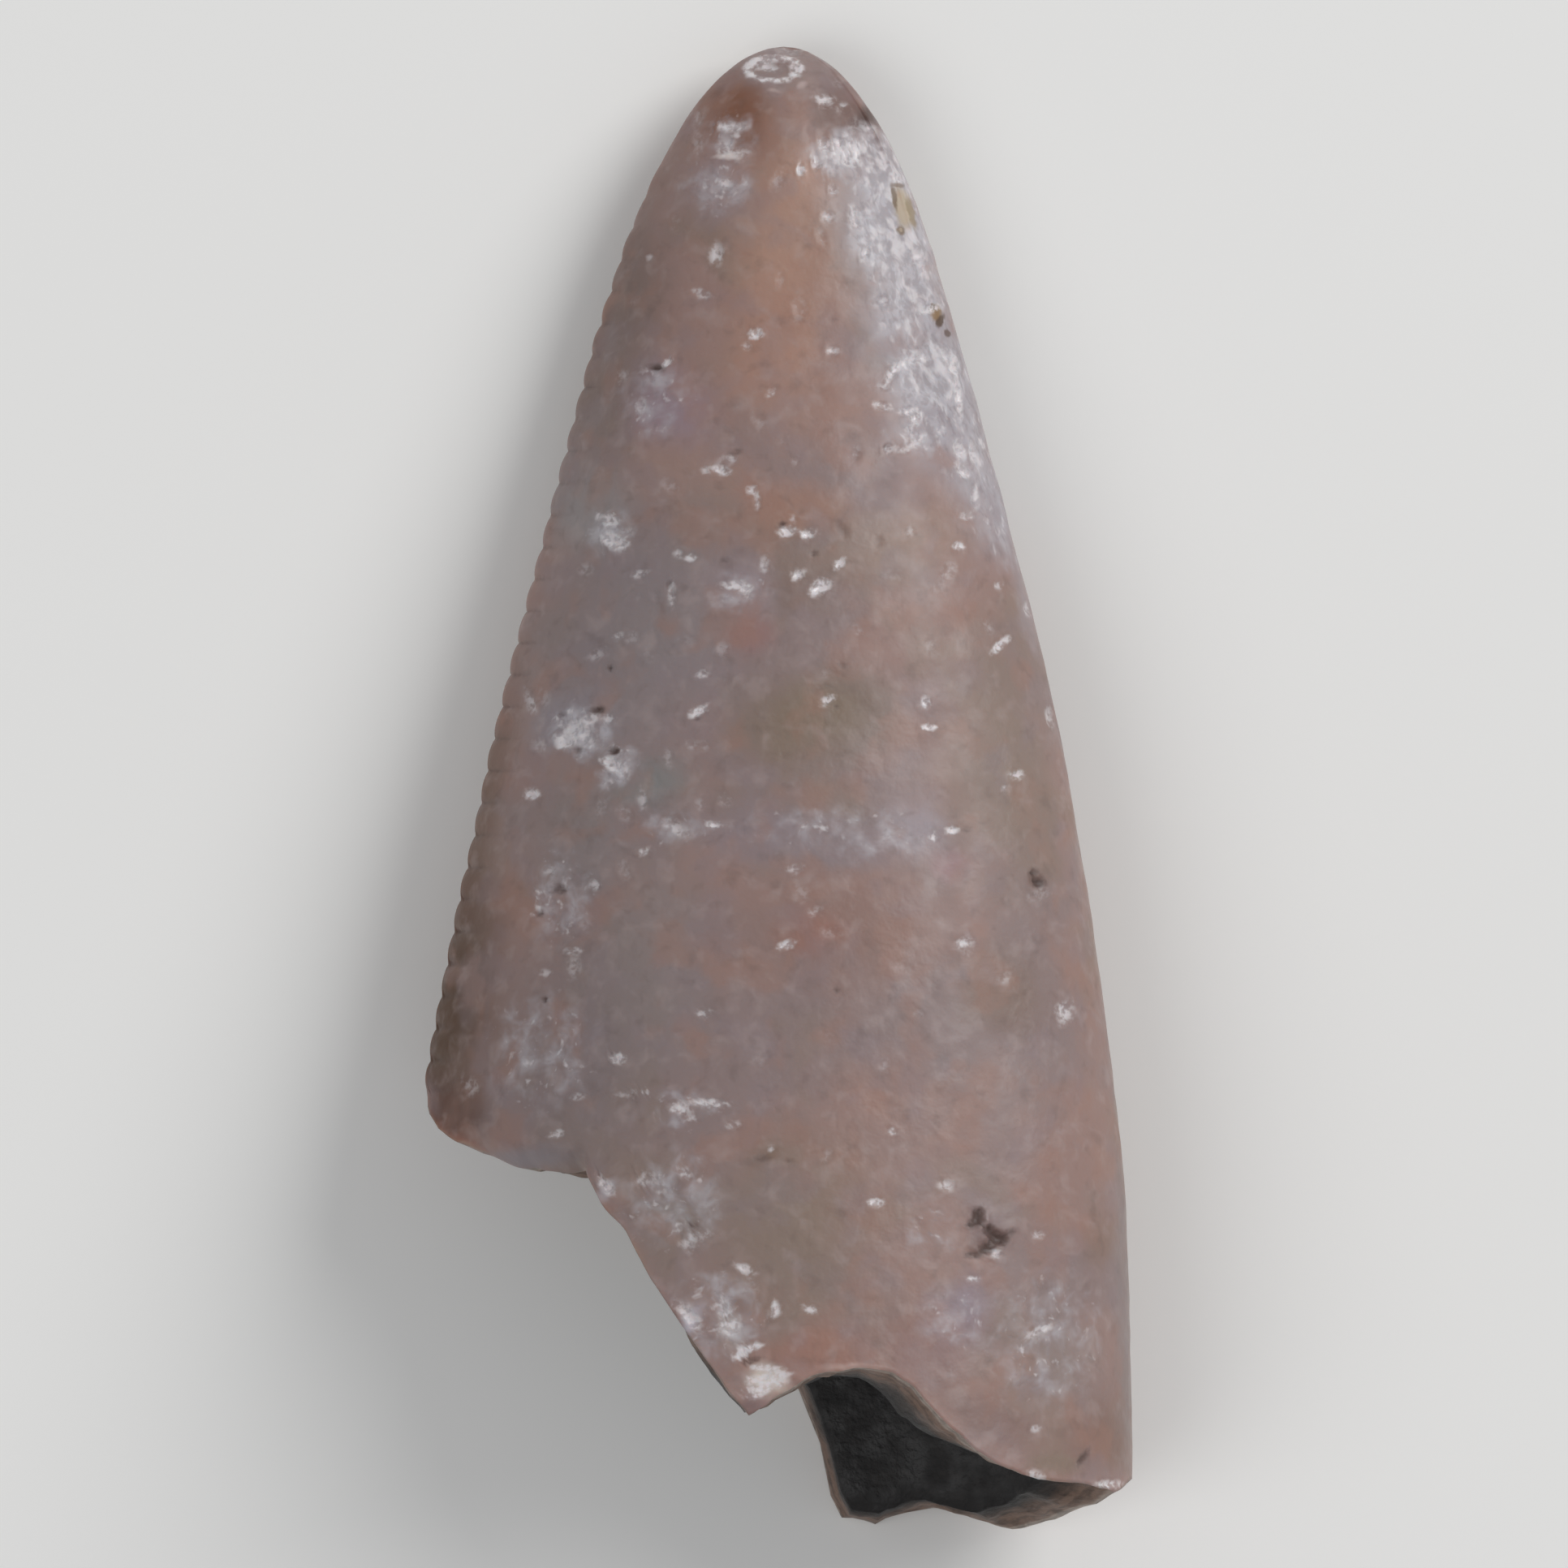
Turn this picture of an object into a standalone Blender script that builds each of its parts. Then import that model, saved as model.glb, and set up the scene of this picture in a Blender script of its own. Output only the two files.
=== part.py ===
"""Fossil postosuchus tooth: a shed crown with a hollow, broken base, lying on its lingual face.

The crown is one solid. Its own coordinates, in millimetres, are x across the blade, from the serrated
distal carina (-) to the mesial one (+), s down the crown from the apex to the base, and z, the height above
the surface that the tooth lies on. A place on a cross-section is u, from -1 at the distal carina to +1 at
the mesial side, on the labial wall, which faces up, or on the lingual wall, which faces down.
"""

import math

import bmesh
import bpy
import numpy as np

MM = 0.001

# The blade's two edges, seen from the labial side: (s, x).
APEX_X = 0.05
DISTAL_EDGE = (
    (0.0, APEX_X),
    (0.15, -0.43),
    (0.75, -1.03),
    (1.65, -1.56),
    (3.15, -2.10),
    (5.25, -2.67),
    (8.85, -3.52),
    (12.75, -4.31),
    (18.4, -4.75),
)
MESIAL_EDGE = (
    (0.0, APEX_X),
    (0.15, 0.52),
    (0.75, 1.10),
    (1.65, 1.60),
    (3.15, 2.07),
    (5.25, 2.66),
    (7.65, 3.29),
    (9.45, 3.64),
    (12.45, 4.10),
    (14.2, 4.26),
    (16.65, 4.33),
    (18.4, 4.34),
)

# Bulge of each wall from the plane of the carinae, which grows with the root of s.
LABIAL_BULGE = 0.665
LINGUAL_BULGE = 0.53
DISTAL_SHARPNESS = 0.74
MESIAL_SHARPNESS = 0.54
LINGUAL_FLATNESS = 2.8

# The lingual face lies on the surface with a flat strip, worn REST_FLAT_DEPTH into it, whose sides widen
# evenly between two levels. Above the strip the crown is turned up from the surface, most at its apex.
REST_TOP_S = 3.6
REST_BOTTOM_S = 18.0
REST_HALF_WIDTH_U = 0.305
REST_FLAT_DEPTH = 0.06
REST_FLAT_FADE = 4
APEX_LIFT = 0.40
APEX_LIFT_SLOPE = 0.05

# Serrations of the distal carina, and the worn ridge of the mesial one, which stands on the labial side.
DENTICLE_PITCH = 0.395
DENTICLE_HEIGHT = 0.05
DENTICLES = 28
SERRATED_FROM = 1.45
FIRST_FULL_DENTICLE = 5
DENTICLE_REACH_U = 0.05
MESIAL_RIDGE_HEIGHT = 0.09
MESIAL_RIDGE_U = 0.92
MESIAL_RIDGE_WIDTH_U = 0.035
MESIAL_RIDGE_ENDS = 7.5

# A pit in the labial wall near the base: where it is, its radius and its depth.
PIT_X = 2.56
PIT_S = 14.62
PIT_RADIUS = 0.34
PIT_DEPTH = 0.24

# The pulp cavity, open at the base: its apex, the level at which its section is measured, and that section.
CAVITY_APEX_S = 8.2
CAVITY_MOUTH_S = 17.0
CAVITY_HALF_WIDTH = 3.30
CAVITY_LABIAL_BULGE = 1.92
CAVITY_LINGUAL_BULGE = 1.36
CAVITY_SPREAD = 0.75

# The broken rim: (x, s, how much further down the wall's inner edge reaches), from the distal carina over
# the labial wall to the mesial side, then back over the lingual wall.
DISTAL_RIM = (12.95, 0.10)
LABIAL_RIM = (
    (-4.32, 13.16, 0.10),
    (-4.20, 13.38, 0.10),
    (-3.79, 13.65, 0.12),
    (-3.05, 13.82, 0.14),
    (-2.40, 13.86, 0.10),
    (-2.19, 14.25, -0.05),
    (-1.86, 14.60, -0.10),
    (-1.60, 15.15, -0.10),
    (-1.18, 15.75, -0.10),
    (-0.73, 16.38, -0.05),
    (-0.36, 16.87, -0.10),
    (-0.08, 16.62, 0.0),
    (0.45, 16.34, 0.0),
    (1.00, 16.27, 0.10),
    (1.38, 16.33, 0.30),
    (1.62, 16.52, 0.38),
    (1.90, 16.80, 0.22),
    (2.33, 17.22, -0.07),
    (2.58, 17.38, -0.16),
    (2.83, 17.54, -0.24),
    (3.20, 17.66, -0.32),
    (3.70, 17.71, -0.30),
    (3.92, 17.76, -0.30),
    (4.12, 17.80, -0.25),
)
MESIAL_RIM = (17.64, -0.15)
LINGUAL_RIM = (
    (3.95, 17.98, -0.15),
    (3.40, 18.20, -0.20),
    (2.90, 18.32, -0.20),
    (2.35, 18.16, -0.12),
    (1.95, 18.05, -0.10),
    (1.60, 18.08, -0.10),
    (1.15, 18.26, -0.15),
    (0.66, 18.18, -0.10),
    (0.60, 17.45, 0.0),
    (0.25, 16.55, 0.0),
    (-0.55, 15.65, 0.0),
    (-1.00, 15.25, 0.0),
    (-1.38, 14.85, 0.0),
    (-1.90, 14.32, 0.0),
    (-2.60, 13.75, 0.0),
    (-3.55, 13.45, 0.0),
    (-4.18, 13.30, 0.0),
    (-4.32, 13.12, 0.0),
)

# Rows of faces: the apex, the serrated length with three rows to a denticle, and the skirt down to the rim.
APEX_ROWS = 8
DENTICLE_ROWS = ((0.0, 0.0), (0.30, 1.0), (0.72, 1.0))
SKIRT_ROWS = 17
CAVITY_SKIRT_ROWS = 7
CAVITY_ROWS = 9
SKIRT_TOP_S = SERRATED_FROM + DENTICLES * DENTICLE_PITCH

ENAMEL_COLOUR = (0.27, 0.19, 0.175, 1.0)
ENAMEL_ROUGHNESS = 0.34


def smooth_curve(points, position):
    """Value at a position on a smooth curve through (position, value) points."""
    knots, values = np.array(points, float).T
    slopes = np.gradient(values, knots)
    left = int(np.clip(np.searchsorted(knots, position) - 1, 0, len(knots) - 2))
    width = knots[left + 1] - knots[left]
    t = (position - knots[left]) / width
    start = values[left] * (1 + 2 * t) * (1 - t) ** 2 + slopes[left] * width * t * (1 - t) ** 2
    end = values[left + 1] * t * t * (3 - 2 * t) - slopes[left + 1] * width * t * t * (1 - t)
    return start + end


def edge_x(edge, s):
    """Where an edge of the blade is. It is read against the root of s, so that the apex is round."""
    return smooth_curve([(math.sqrt(at), x) for at, x in edge], math.sqrt(s))


def middle_and_half_width(s):
    distal, mesial = edge_x(DISTAL_EDGE, s), edge_x(MESIAL_EDGE, s)
    return (mesial + distal) / 2, (mesial - distal) / 2


def carina_z(s):
    """Height of the plane of the carinae above the surface that the tooth lies on."""
    above_rest = max(0.0, REST_TOP_S - s)
    lift = APEX_LIFT_SLOPE * above_rest + APEX_LIFT * (above_rest / REST_TOP_S) ** 2
    sunk = REST_FLAT_DEPTH * min(1.0, s / REST_TOP_S) ** REST_FLAT_FADE
    return LINGUAL_BULGE * math.sqrt(s) - sunk + lift


def rest_half_width(s):
    """The blade's half width as the rest strip takes it: on a straight line between the strip's two levels."""
    _, top = middle_and_half_width(REST_TOP_S)
    _, bottom = middle_and_half_width(REST_BOTTOM_S)
    return top + (bottom - top) * (s - REST_TOP_S) / (REST_BOTTOM_S - REST_TOP_S)


def section_height(u, labial, bulge):
    """Height of a wall above the carina plane, sharp at the distal carina and round at the mesial side."""
    mesial_share = (1 + u) / 2
    sharpness = DISTAL_SHARPNESS + (MESIAL_SHARPNESS - DISTAL_SHARPNESS) * mesial_share
    power = 2.0 if labial else LINGUAL_FLATNESS
    height = bulge * max(0.0, 1 - abs(u) ** power) ** sharpness
    return height if labial else -height


def denticle_height(s):
    """How far the distal carina's serrations stand out: blunt near the worn apex, full lower down."""
    steps = (s - SERRATED_FROM) / DENTICLE_PITCH
    if steps < 0:
        return 0.0
    phases, heights = zip(*DENTICLE_ROWS, (1.0, 0.0))
    shape = np.interp(steps % 1.0, phases, heights)
    return DENTICLE_HEIGHT * shape * min(1.0, (steps + 1) / FIRST_FULL_DENTICLE)


def outer_point(u, labial, s):
    middle, half_width = middle_and_half_width(s)
    if not labial and abs(u) < REST_HALF_WIDTH_U and s > REST_TOP_S:
        return middle + u * rest_half_width(s), s, 0.0
    bulge = (LABIAL_BULGE if labial else LINGUAL_BULGE) * math.sqrt(s)
    x = middle + u * half_width
    z = carina_z(s) + section_height(u, labial, bulge)
    x -= denticle_height(s) * max(0.0, 1 - (1 + u) / DENTICLE_REACH_U)
    if labial:
        ridge = MESIAL_RIDGE_HEIGHT * max(0.0, 1 - s / MESIAL_RIDGE_ENDS) * min(1.0, s)
        z += ridge * math.exp(-(((u - MESIAL_RIDGE_U) / MESIAL_RIDGE_WIDTH_U) ** 2))
        z -= PIT_DEPTH * max(0.0, 1 - math.hypot(x - PIT_X, s - PIT_S) / PIT_RADIUS)
    return x, s, max(z, 0.0)


def cavity_point(u, labial, s):
    """The pulp cavity's wall, rounder than the crown and centred in it."""
    middle, _ = middle_and_half_width(s)
    u = math.copysign(min(1.0, abs(u)) ** CAVITY_SPREAD, u)
    opened = math.sqrt(max(0.0, s - CAVITY_APEX_S) / (CAVITY_MOUTH_S - CAVITY_APEX_S))
    bulge = (CAVITY_LABIAL_BULGE if labial else CAVITY_LINGUAL_BULGE) * opened
    height = bulge * math.sqrt(max(0.0, 1 - u * u))
    x = middle + u * CAVITY_HALF_WIDTH * opened
    return x, s, carina_z(s) + (height if labial else -height)


def columns():
    """Each column of the crown, round its section: (u, labial, s of the rim, s of its inner edge)."""

    def column(x, s, lip, labial):
        middle, half_width = middle_and_half_width(s)
        return (x - middle) / half_width, labial, s, s + lip

    distal, mesial = DISTAL_RIM, MESIAL_RIM
    found = [(-1.0, True, distal[0], sum(distal))]
    found += [column(*point, True) for point in LABIAL_RIM]
    found += [(1.0, True, mesial[0], sum(mesial))]
    found += [column(*point, False) for point in LINGUAL_RIM]
    return found


def crown_levels():
    """The level of each row from the apex to the top of the skirt."""
    apex = [SERRATED_FROM * (row / APEX_ROWS) ** 2 for row in range(1, APEX_ROWS)]
    serrated = [
        SERRATED_FROM + (tooth + phase) * DENTICLE_PITCH
        for tooth in range(DENTICLES)
        for phase, _ in DENTICLE_ROWS
    ]
    return apex + serrated + [SKIRT_TOP_S]


def cavity_levels():
    """The level of each row from the top of the cavity's skirt up to its apex."""
    length = SKIRT_TOP_S - CAVITY_APEX_S
    return [CAVITY_APEX_S + length * (1 - row / CAVITY_ROWS) ** 1.5 for row in range(CAVITY_ROWS)]


def rings():
    """Closed rings of points, from the crown's apex down to the rim, over it, and up the cavity."""
    around = columns()
    found = [[outer_point(u, wall, s) for u, wall, _, _ in around] for s in crown_levels()]
    for row in range(1, SKIRT_ROWS + 1):
        share = row / SKIRT_ROWS
        found.append(
            [outer_point(u, wall, SKIRT_TOP_S + (rim - SKIRT_TOP_S) * share) for u, wall, rim, _ in around]
        )
    for row in range(CAVITY_SKIRT_ROWS):
        share = 1 - row / CAVITY_SKIRT_ROWS
        found.append(
            [cavity_point(u, wall, SKIRT_TOP_S + (lip - SKIRT_TOP_S) * share) for u, wall, _, lip in around]
        )
    found += [[cavity_point(u, wall, s) for u, wall, _, _ in around] for s in cavity_levels()]
    return found


def crown_mesh():
    """The closed skin of the crown and its cavity, in millimetres, as (x, -s, z)."""
    skin = bmesh.new()
    made = [[skin.verts.new((x, -s, z)) for x, s, z in ring] for ring in rings()]
    count = len(made[0])
    for upper, lower in zip(made, made[1:]):
        for i in range(count):
            j = (i + 1) % count
            skin.faces.new((upper[i], lower[i], lower[j], upper[j]))
    apex = skin.verts.new((APEX_X, 0.0, carina_z(0.0)))
    middle, _ = middle_and_half_width(CAVITY_APEX_S)
    cavity_apex = skin.verts.new((middle, -CAVITY_APEX_S, carina_z(CAVITY_APEX_S)))
    for i in range(count):
        j = (i + 1) % count
        skin.faces.new((apex, made[0][i], made[0][j]))
        skin.faces.new((made[-1][i], cavity_apex, made[-1][j]))
    bmesh.ops.recalc_face_normals(skin, faces=skin.faces)
    return skin


def centre_on_the_surface(skin):
    """Puts the middle of the crown's box above the origin, and turns millimetres into metres."""
    places = np.array([vertex.co for vertex in skin.verts])
    low, high = places.min(axis=0), places.max(axis=0)
    middle = ((low + high) / 2)[:2]
    for vertex in skin.verts:
        vertex.co.x = (vertex.co.x - middle[0]) * MM
        vertex.co.y = (vertex.co.y - middle[1]) * MM
        vertex.co.z = (vertex.co.z - low[2]) * MM


def enamel():
    material = bpy.data.materials.new("enamel")
    material.use_nodes = True
    shader = material.node_tree.nodes["Principled BSDF"]
    shader.inputs["Base Color"].default_value = ENAMEL_COLOUR
    shader.inputs["Roughness"].default_value = ENAMEL_ROUGHNESS
    shader.inputs["Metallic"].default_value = 0.0
    return material


def main():
    for obj in list(bpy.data.objects):
        bpy.data.objects.remove(obj)
    skin = crown_mesh()
    centre_on_the_surface(skin)
    mesh = bpy.data.meshes.new("tooth_crown")
    skin.to_mesh(mesh)
    skin.free()
    mesh.materials.append(enamel())
    mesh.shade_smooth()
    mesh.set_sharp_from_angle(angle=math.radians(40))
    crown = bpy.data.objects.new("tooth_crown", mesh)
    bpy.context.scene.collection.objects.link(crown)


main()
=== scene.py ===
"""Looks of the fossil tooth: its fine surface, its enamel and dentine, the floor, the lights, the camera.

The surface is made in the tooth's own coordinates, in millimetres: x across the blade, from the serrated
distal carina (-) to the mesial side (+), s down the crown from the apex, and z up from the floor. A place
on a cross-section is u, from -1 at the distal carina to +1 at the mesial side, on the labial wall, which
faces up, or on the lingual wall, which faces down.
"""

import math

import bpy
import numpy as np
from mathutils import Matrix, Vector


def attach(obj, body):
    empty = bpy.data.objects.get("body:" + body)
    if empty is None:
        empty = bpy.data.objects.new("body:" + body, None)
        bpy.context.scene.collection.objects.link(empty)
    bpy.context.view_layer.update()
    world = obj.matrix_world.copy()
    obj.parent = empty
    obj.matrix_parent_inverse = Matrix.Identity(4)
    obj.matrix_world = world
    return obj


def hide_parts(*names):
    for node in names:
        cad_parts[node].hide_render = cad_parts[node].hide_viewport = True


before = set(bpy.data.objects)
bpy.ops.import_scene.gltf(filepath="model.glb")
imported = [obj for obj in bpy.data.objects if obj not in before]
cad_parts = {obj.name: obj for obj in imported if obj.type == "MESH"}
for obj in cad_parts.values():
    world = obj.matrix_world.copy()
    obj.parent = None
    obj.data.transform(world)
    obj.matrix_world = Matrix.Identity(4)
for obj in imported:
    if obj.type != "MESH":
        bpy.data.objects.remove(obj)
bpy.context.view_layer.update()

MM = 0.001

# Where the world's origin is in the tooth's coordinates.
MIDDLE_X = -0.007
MIDDLE_S = 9.16

# The blade's two edges, seen from the labial side: (s, x).
APEX_X = 0.05
DISTAL_EDGE = (
    (0.0, APEX_X),
    (0.15, -0.43),
    (0.75, -1.03),
    (1.65, -1.56),
    (3.15, -2.10),
    (5.25, -2.67),
    (8.85, -3.52),
    (12.75, -4.31),
    (18.4, -4.75),
)
MESIAL_EDGE = (
    (0.0, APEX_X),
    (0.15, 0.52),
    (0.75, 1.10),
    (1.65, 1.60),
    (3.15, 2.07),
    (5.25, 2.66),
    (7.65, 3.29),
    (9.45, 3.64),
    (12.45, 4.10),
    (14.2, 4.26),
    (16.65, 4.33),
    (18.4, 4.34),
)

# Bulge of each wall from the plane of the carinae, which grows with the root of s.
LABIAL_BULGE = 0.665
LINGUAL_BULGE = 0.53
DISTAL_SHARPNESS = 0.74
MESIAL_SHARPNESS = 0.54
LINGUAL_FLATNESS = 2.8

# The flat strip that the lingual face lies on, and the crown's turn up from the floor above it.
REST_TOP_S = 3.6
REST_BOTTOM_S = 18.0
REST_HALF_WIDTH_U = 0.305
REST_FLAT_DEPTH = 0.06
REST_FLAT_FADE = 4
APEX_LIFT = 0.40
APEX_LIFT_SLOPE = 0.05

# Serrations of the distal carina, and the worn ridge of the mesial one.
DENTICLE_PITCH = 0.395
DENTICLE_HEIGHT = 0.05
DENTICLE_FLATNESS = 0.6
DENTICLES = 28
SERRATED_FROM = 1.45
FIRST_FULL_DENTICLE = 5
DENTICLE_REACH_U = 0.05
GROOVE_DEPTH = 0.05
GROOVE_REACH_U = 0.09
# The grooves between denticles are darkened by this share of the pits' painted-shade colour.
GROOVE_DARKENING = 0.5
MESIAL_RIDGE_HEIGHT = 0.09
MESIAL_RIDGE_U = 0.92
MESIAL_RIDGE_WIDTH_U = 0.035
MESIAL_RIDGE_ENDS = 7.5

# The pulp cavity.
CAVITY_APEX_S = 8.2
CAVITY_MOUTH_S = 17.0
CAVITY_HALF_WIDTH = 3.30
CAVITY_LABIAL_BULGE = 1.92
CAVITY_LINGUAL_BULGE = 1.36
CAVITY_SPREAD = 0.75

# The broken rim of each wall: (x, s, how much further down the wall's inner edge reaches).
DISTAL_RIM = (12.95, 0.10)
MESIAL_RIM = (17.64, -0.15)
LABIAL_RIM = (
    (-4.32, 13.16, 0.10),
    (-4.20, 13.38, 0.10),
    (-3.79, 13.65, 0.12),
    (-3.05, 13.82, 0.14),
    (-2.40, 13.86, 0.10),
    (-2.19, 14.25, -0.05),
    (-1.86, 14.60, -0.10),
    (-1.60, 15.15, -0.10),
    (-1.18, 15.75, -0.10),
    (-0.73, 16.38, -0.05),
    (-0.36, 16.87, -0.10),
    (-0.08, 16.62, 0.0),
    (0.45, 16.34, 0.0),
    (1.00, 16.27, 0.10),
    (1.38, 16.33, 0.30),
    (1.62, 16.52, 0.38),
    (1.90, 16.80, 0.22),
    (2.33, 17.22, -0.07),
    (2.58, 17.38, -0.16),
    (2.83, 17.54, -0.24),
    (3.20, 17.66, -0.32),
    (3.70, 17.71, -0.30),
    (3.92, 17.76, -0.30),
    (4.12, 17.80, -0.25),
)
LINGUAL_RIM = (
    (-4.32, 13.12, 0.0),
    (-4.18, 13.30, 0.0),
    (-3.55, 13.45, 0.0),
    (-2.60, 13.75, 0.0),
    (-1.90, 14.32, 0.0),
    (-1.38, 14.85, 0.0),
    (-1.00, 15.25, 0.0),
    (-0.55, 15.65, 0.0),
    (0.25, 16.55, 0.0),
    (0.60, 17.45, 0.0),
    (0.66, 18.18, -0.10),
    (1.15, 18.26, -0.15),
    (1.60, 18.08, -0.10),
    (1.95, 18.05, -0.10),
    (2.35, 18.16, -0.12),
    (2.90, 18.32, -0.20),
    (3.40, 18.20, -0.20),
    (3.95, 17.98, -0.15),
)

# The mesh: columns round the section, and rows down the crown, over the break and up the cavity.
LABIAL_COLUMNS = 158
LINGUAL_COLUMNS = 82
COLUMN_CROWDING = 0.45
APEX_ROWS = 24
UPPER_ROWS = 77
STRETCH_FROM_S = 5.0
LOWER_ROWS = 245
BREAK_ROWS = 14
CAVITY_ROWS = 44
CAVITY_ROW_CROWDING = 1.3

# Relief of the fine surface: (cell in mm, height in mm) of each layer of lumps.
ENAMEL_LUMPS = ((1.7, 0.030), (0.62, 0.013), (0.23, 0.0055))
BREAK_LUMPS = ((0.50, 0.060), (0.20, 0.036), (0.09, 0.014))
CAVITY_LUMPS = ((0.9, 0.05), (0.35, 0.02))
RIM_RAGGEDNESS = ((0.42, 0.035), (0.15, 0.022))
NOISE_TABLE = 32

# How far apart in the noise the walls' rims, a rim's two edges, and the break's three directions lie.
WALL_SHIFT = 9.0
INNER_EDGE_SHIFT = 5
BREAK_SHIFT = 7
BREAK_SEEDS = (41, 46, 51)
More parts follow.
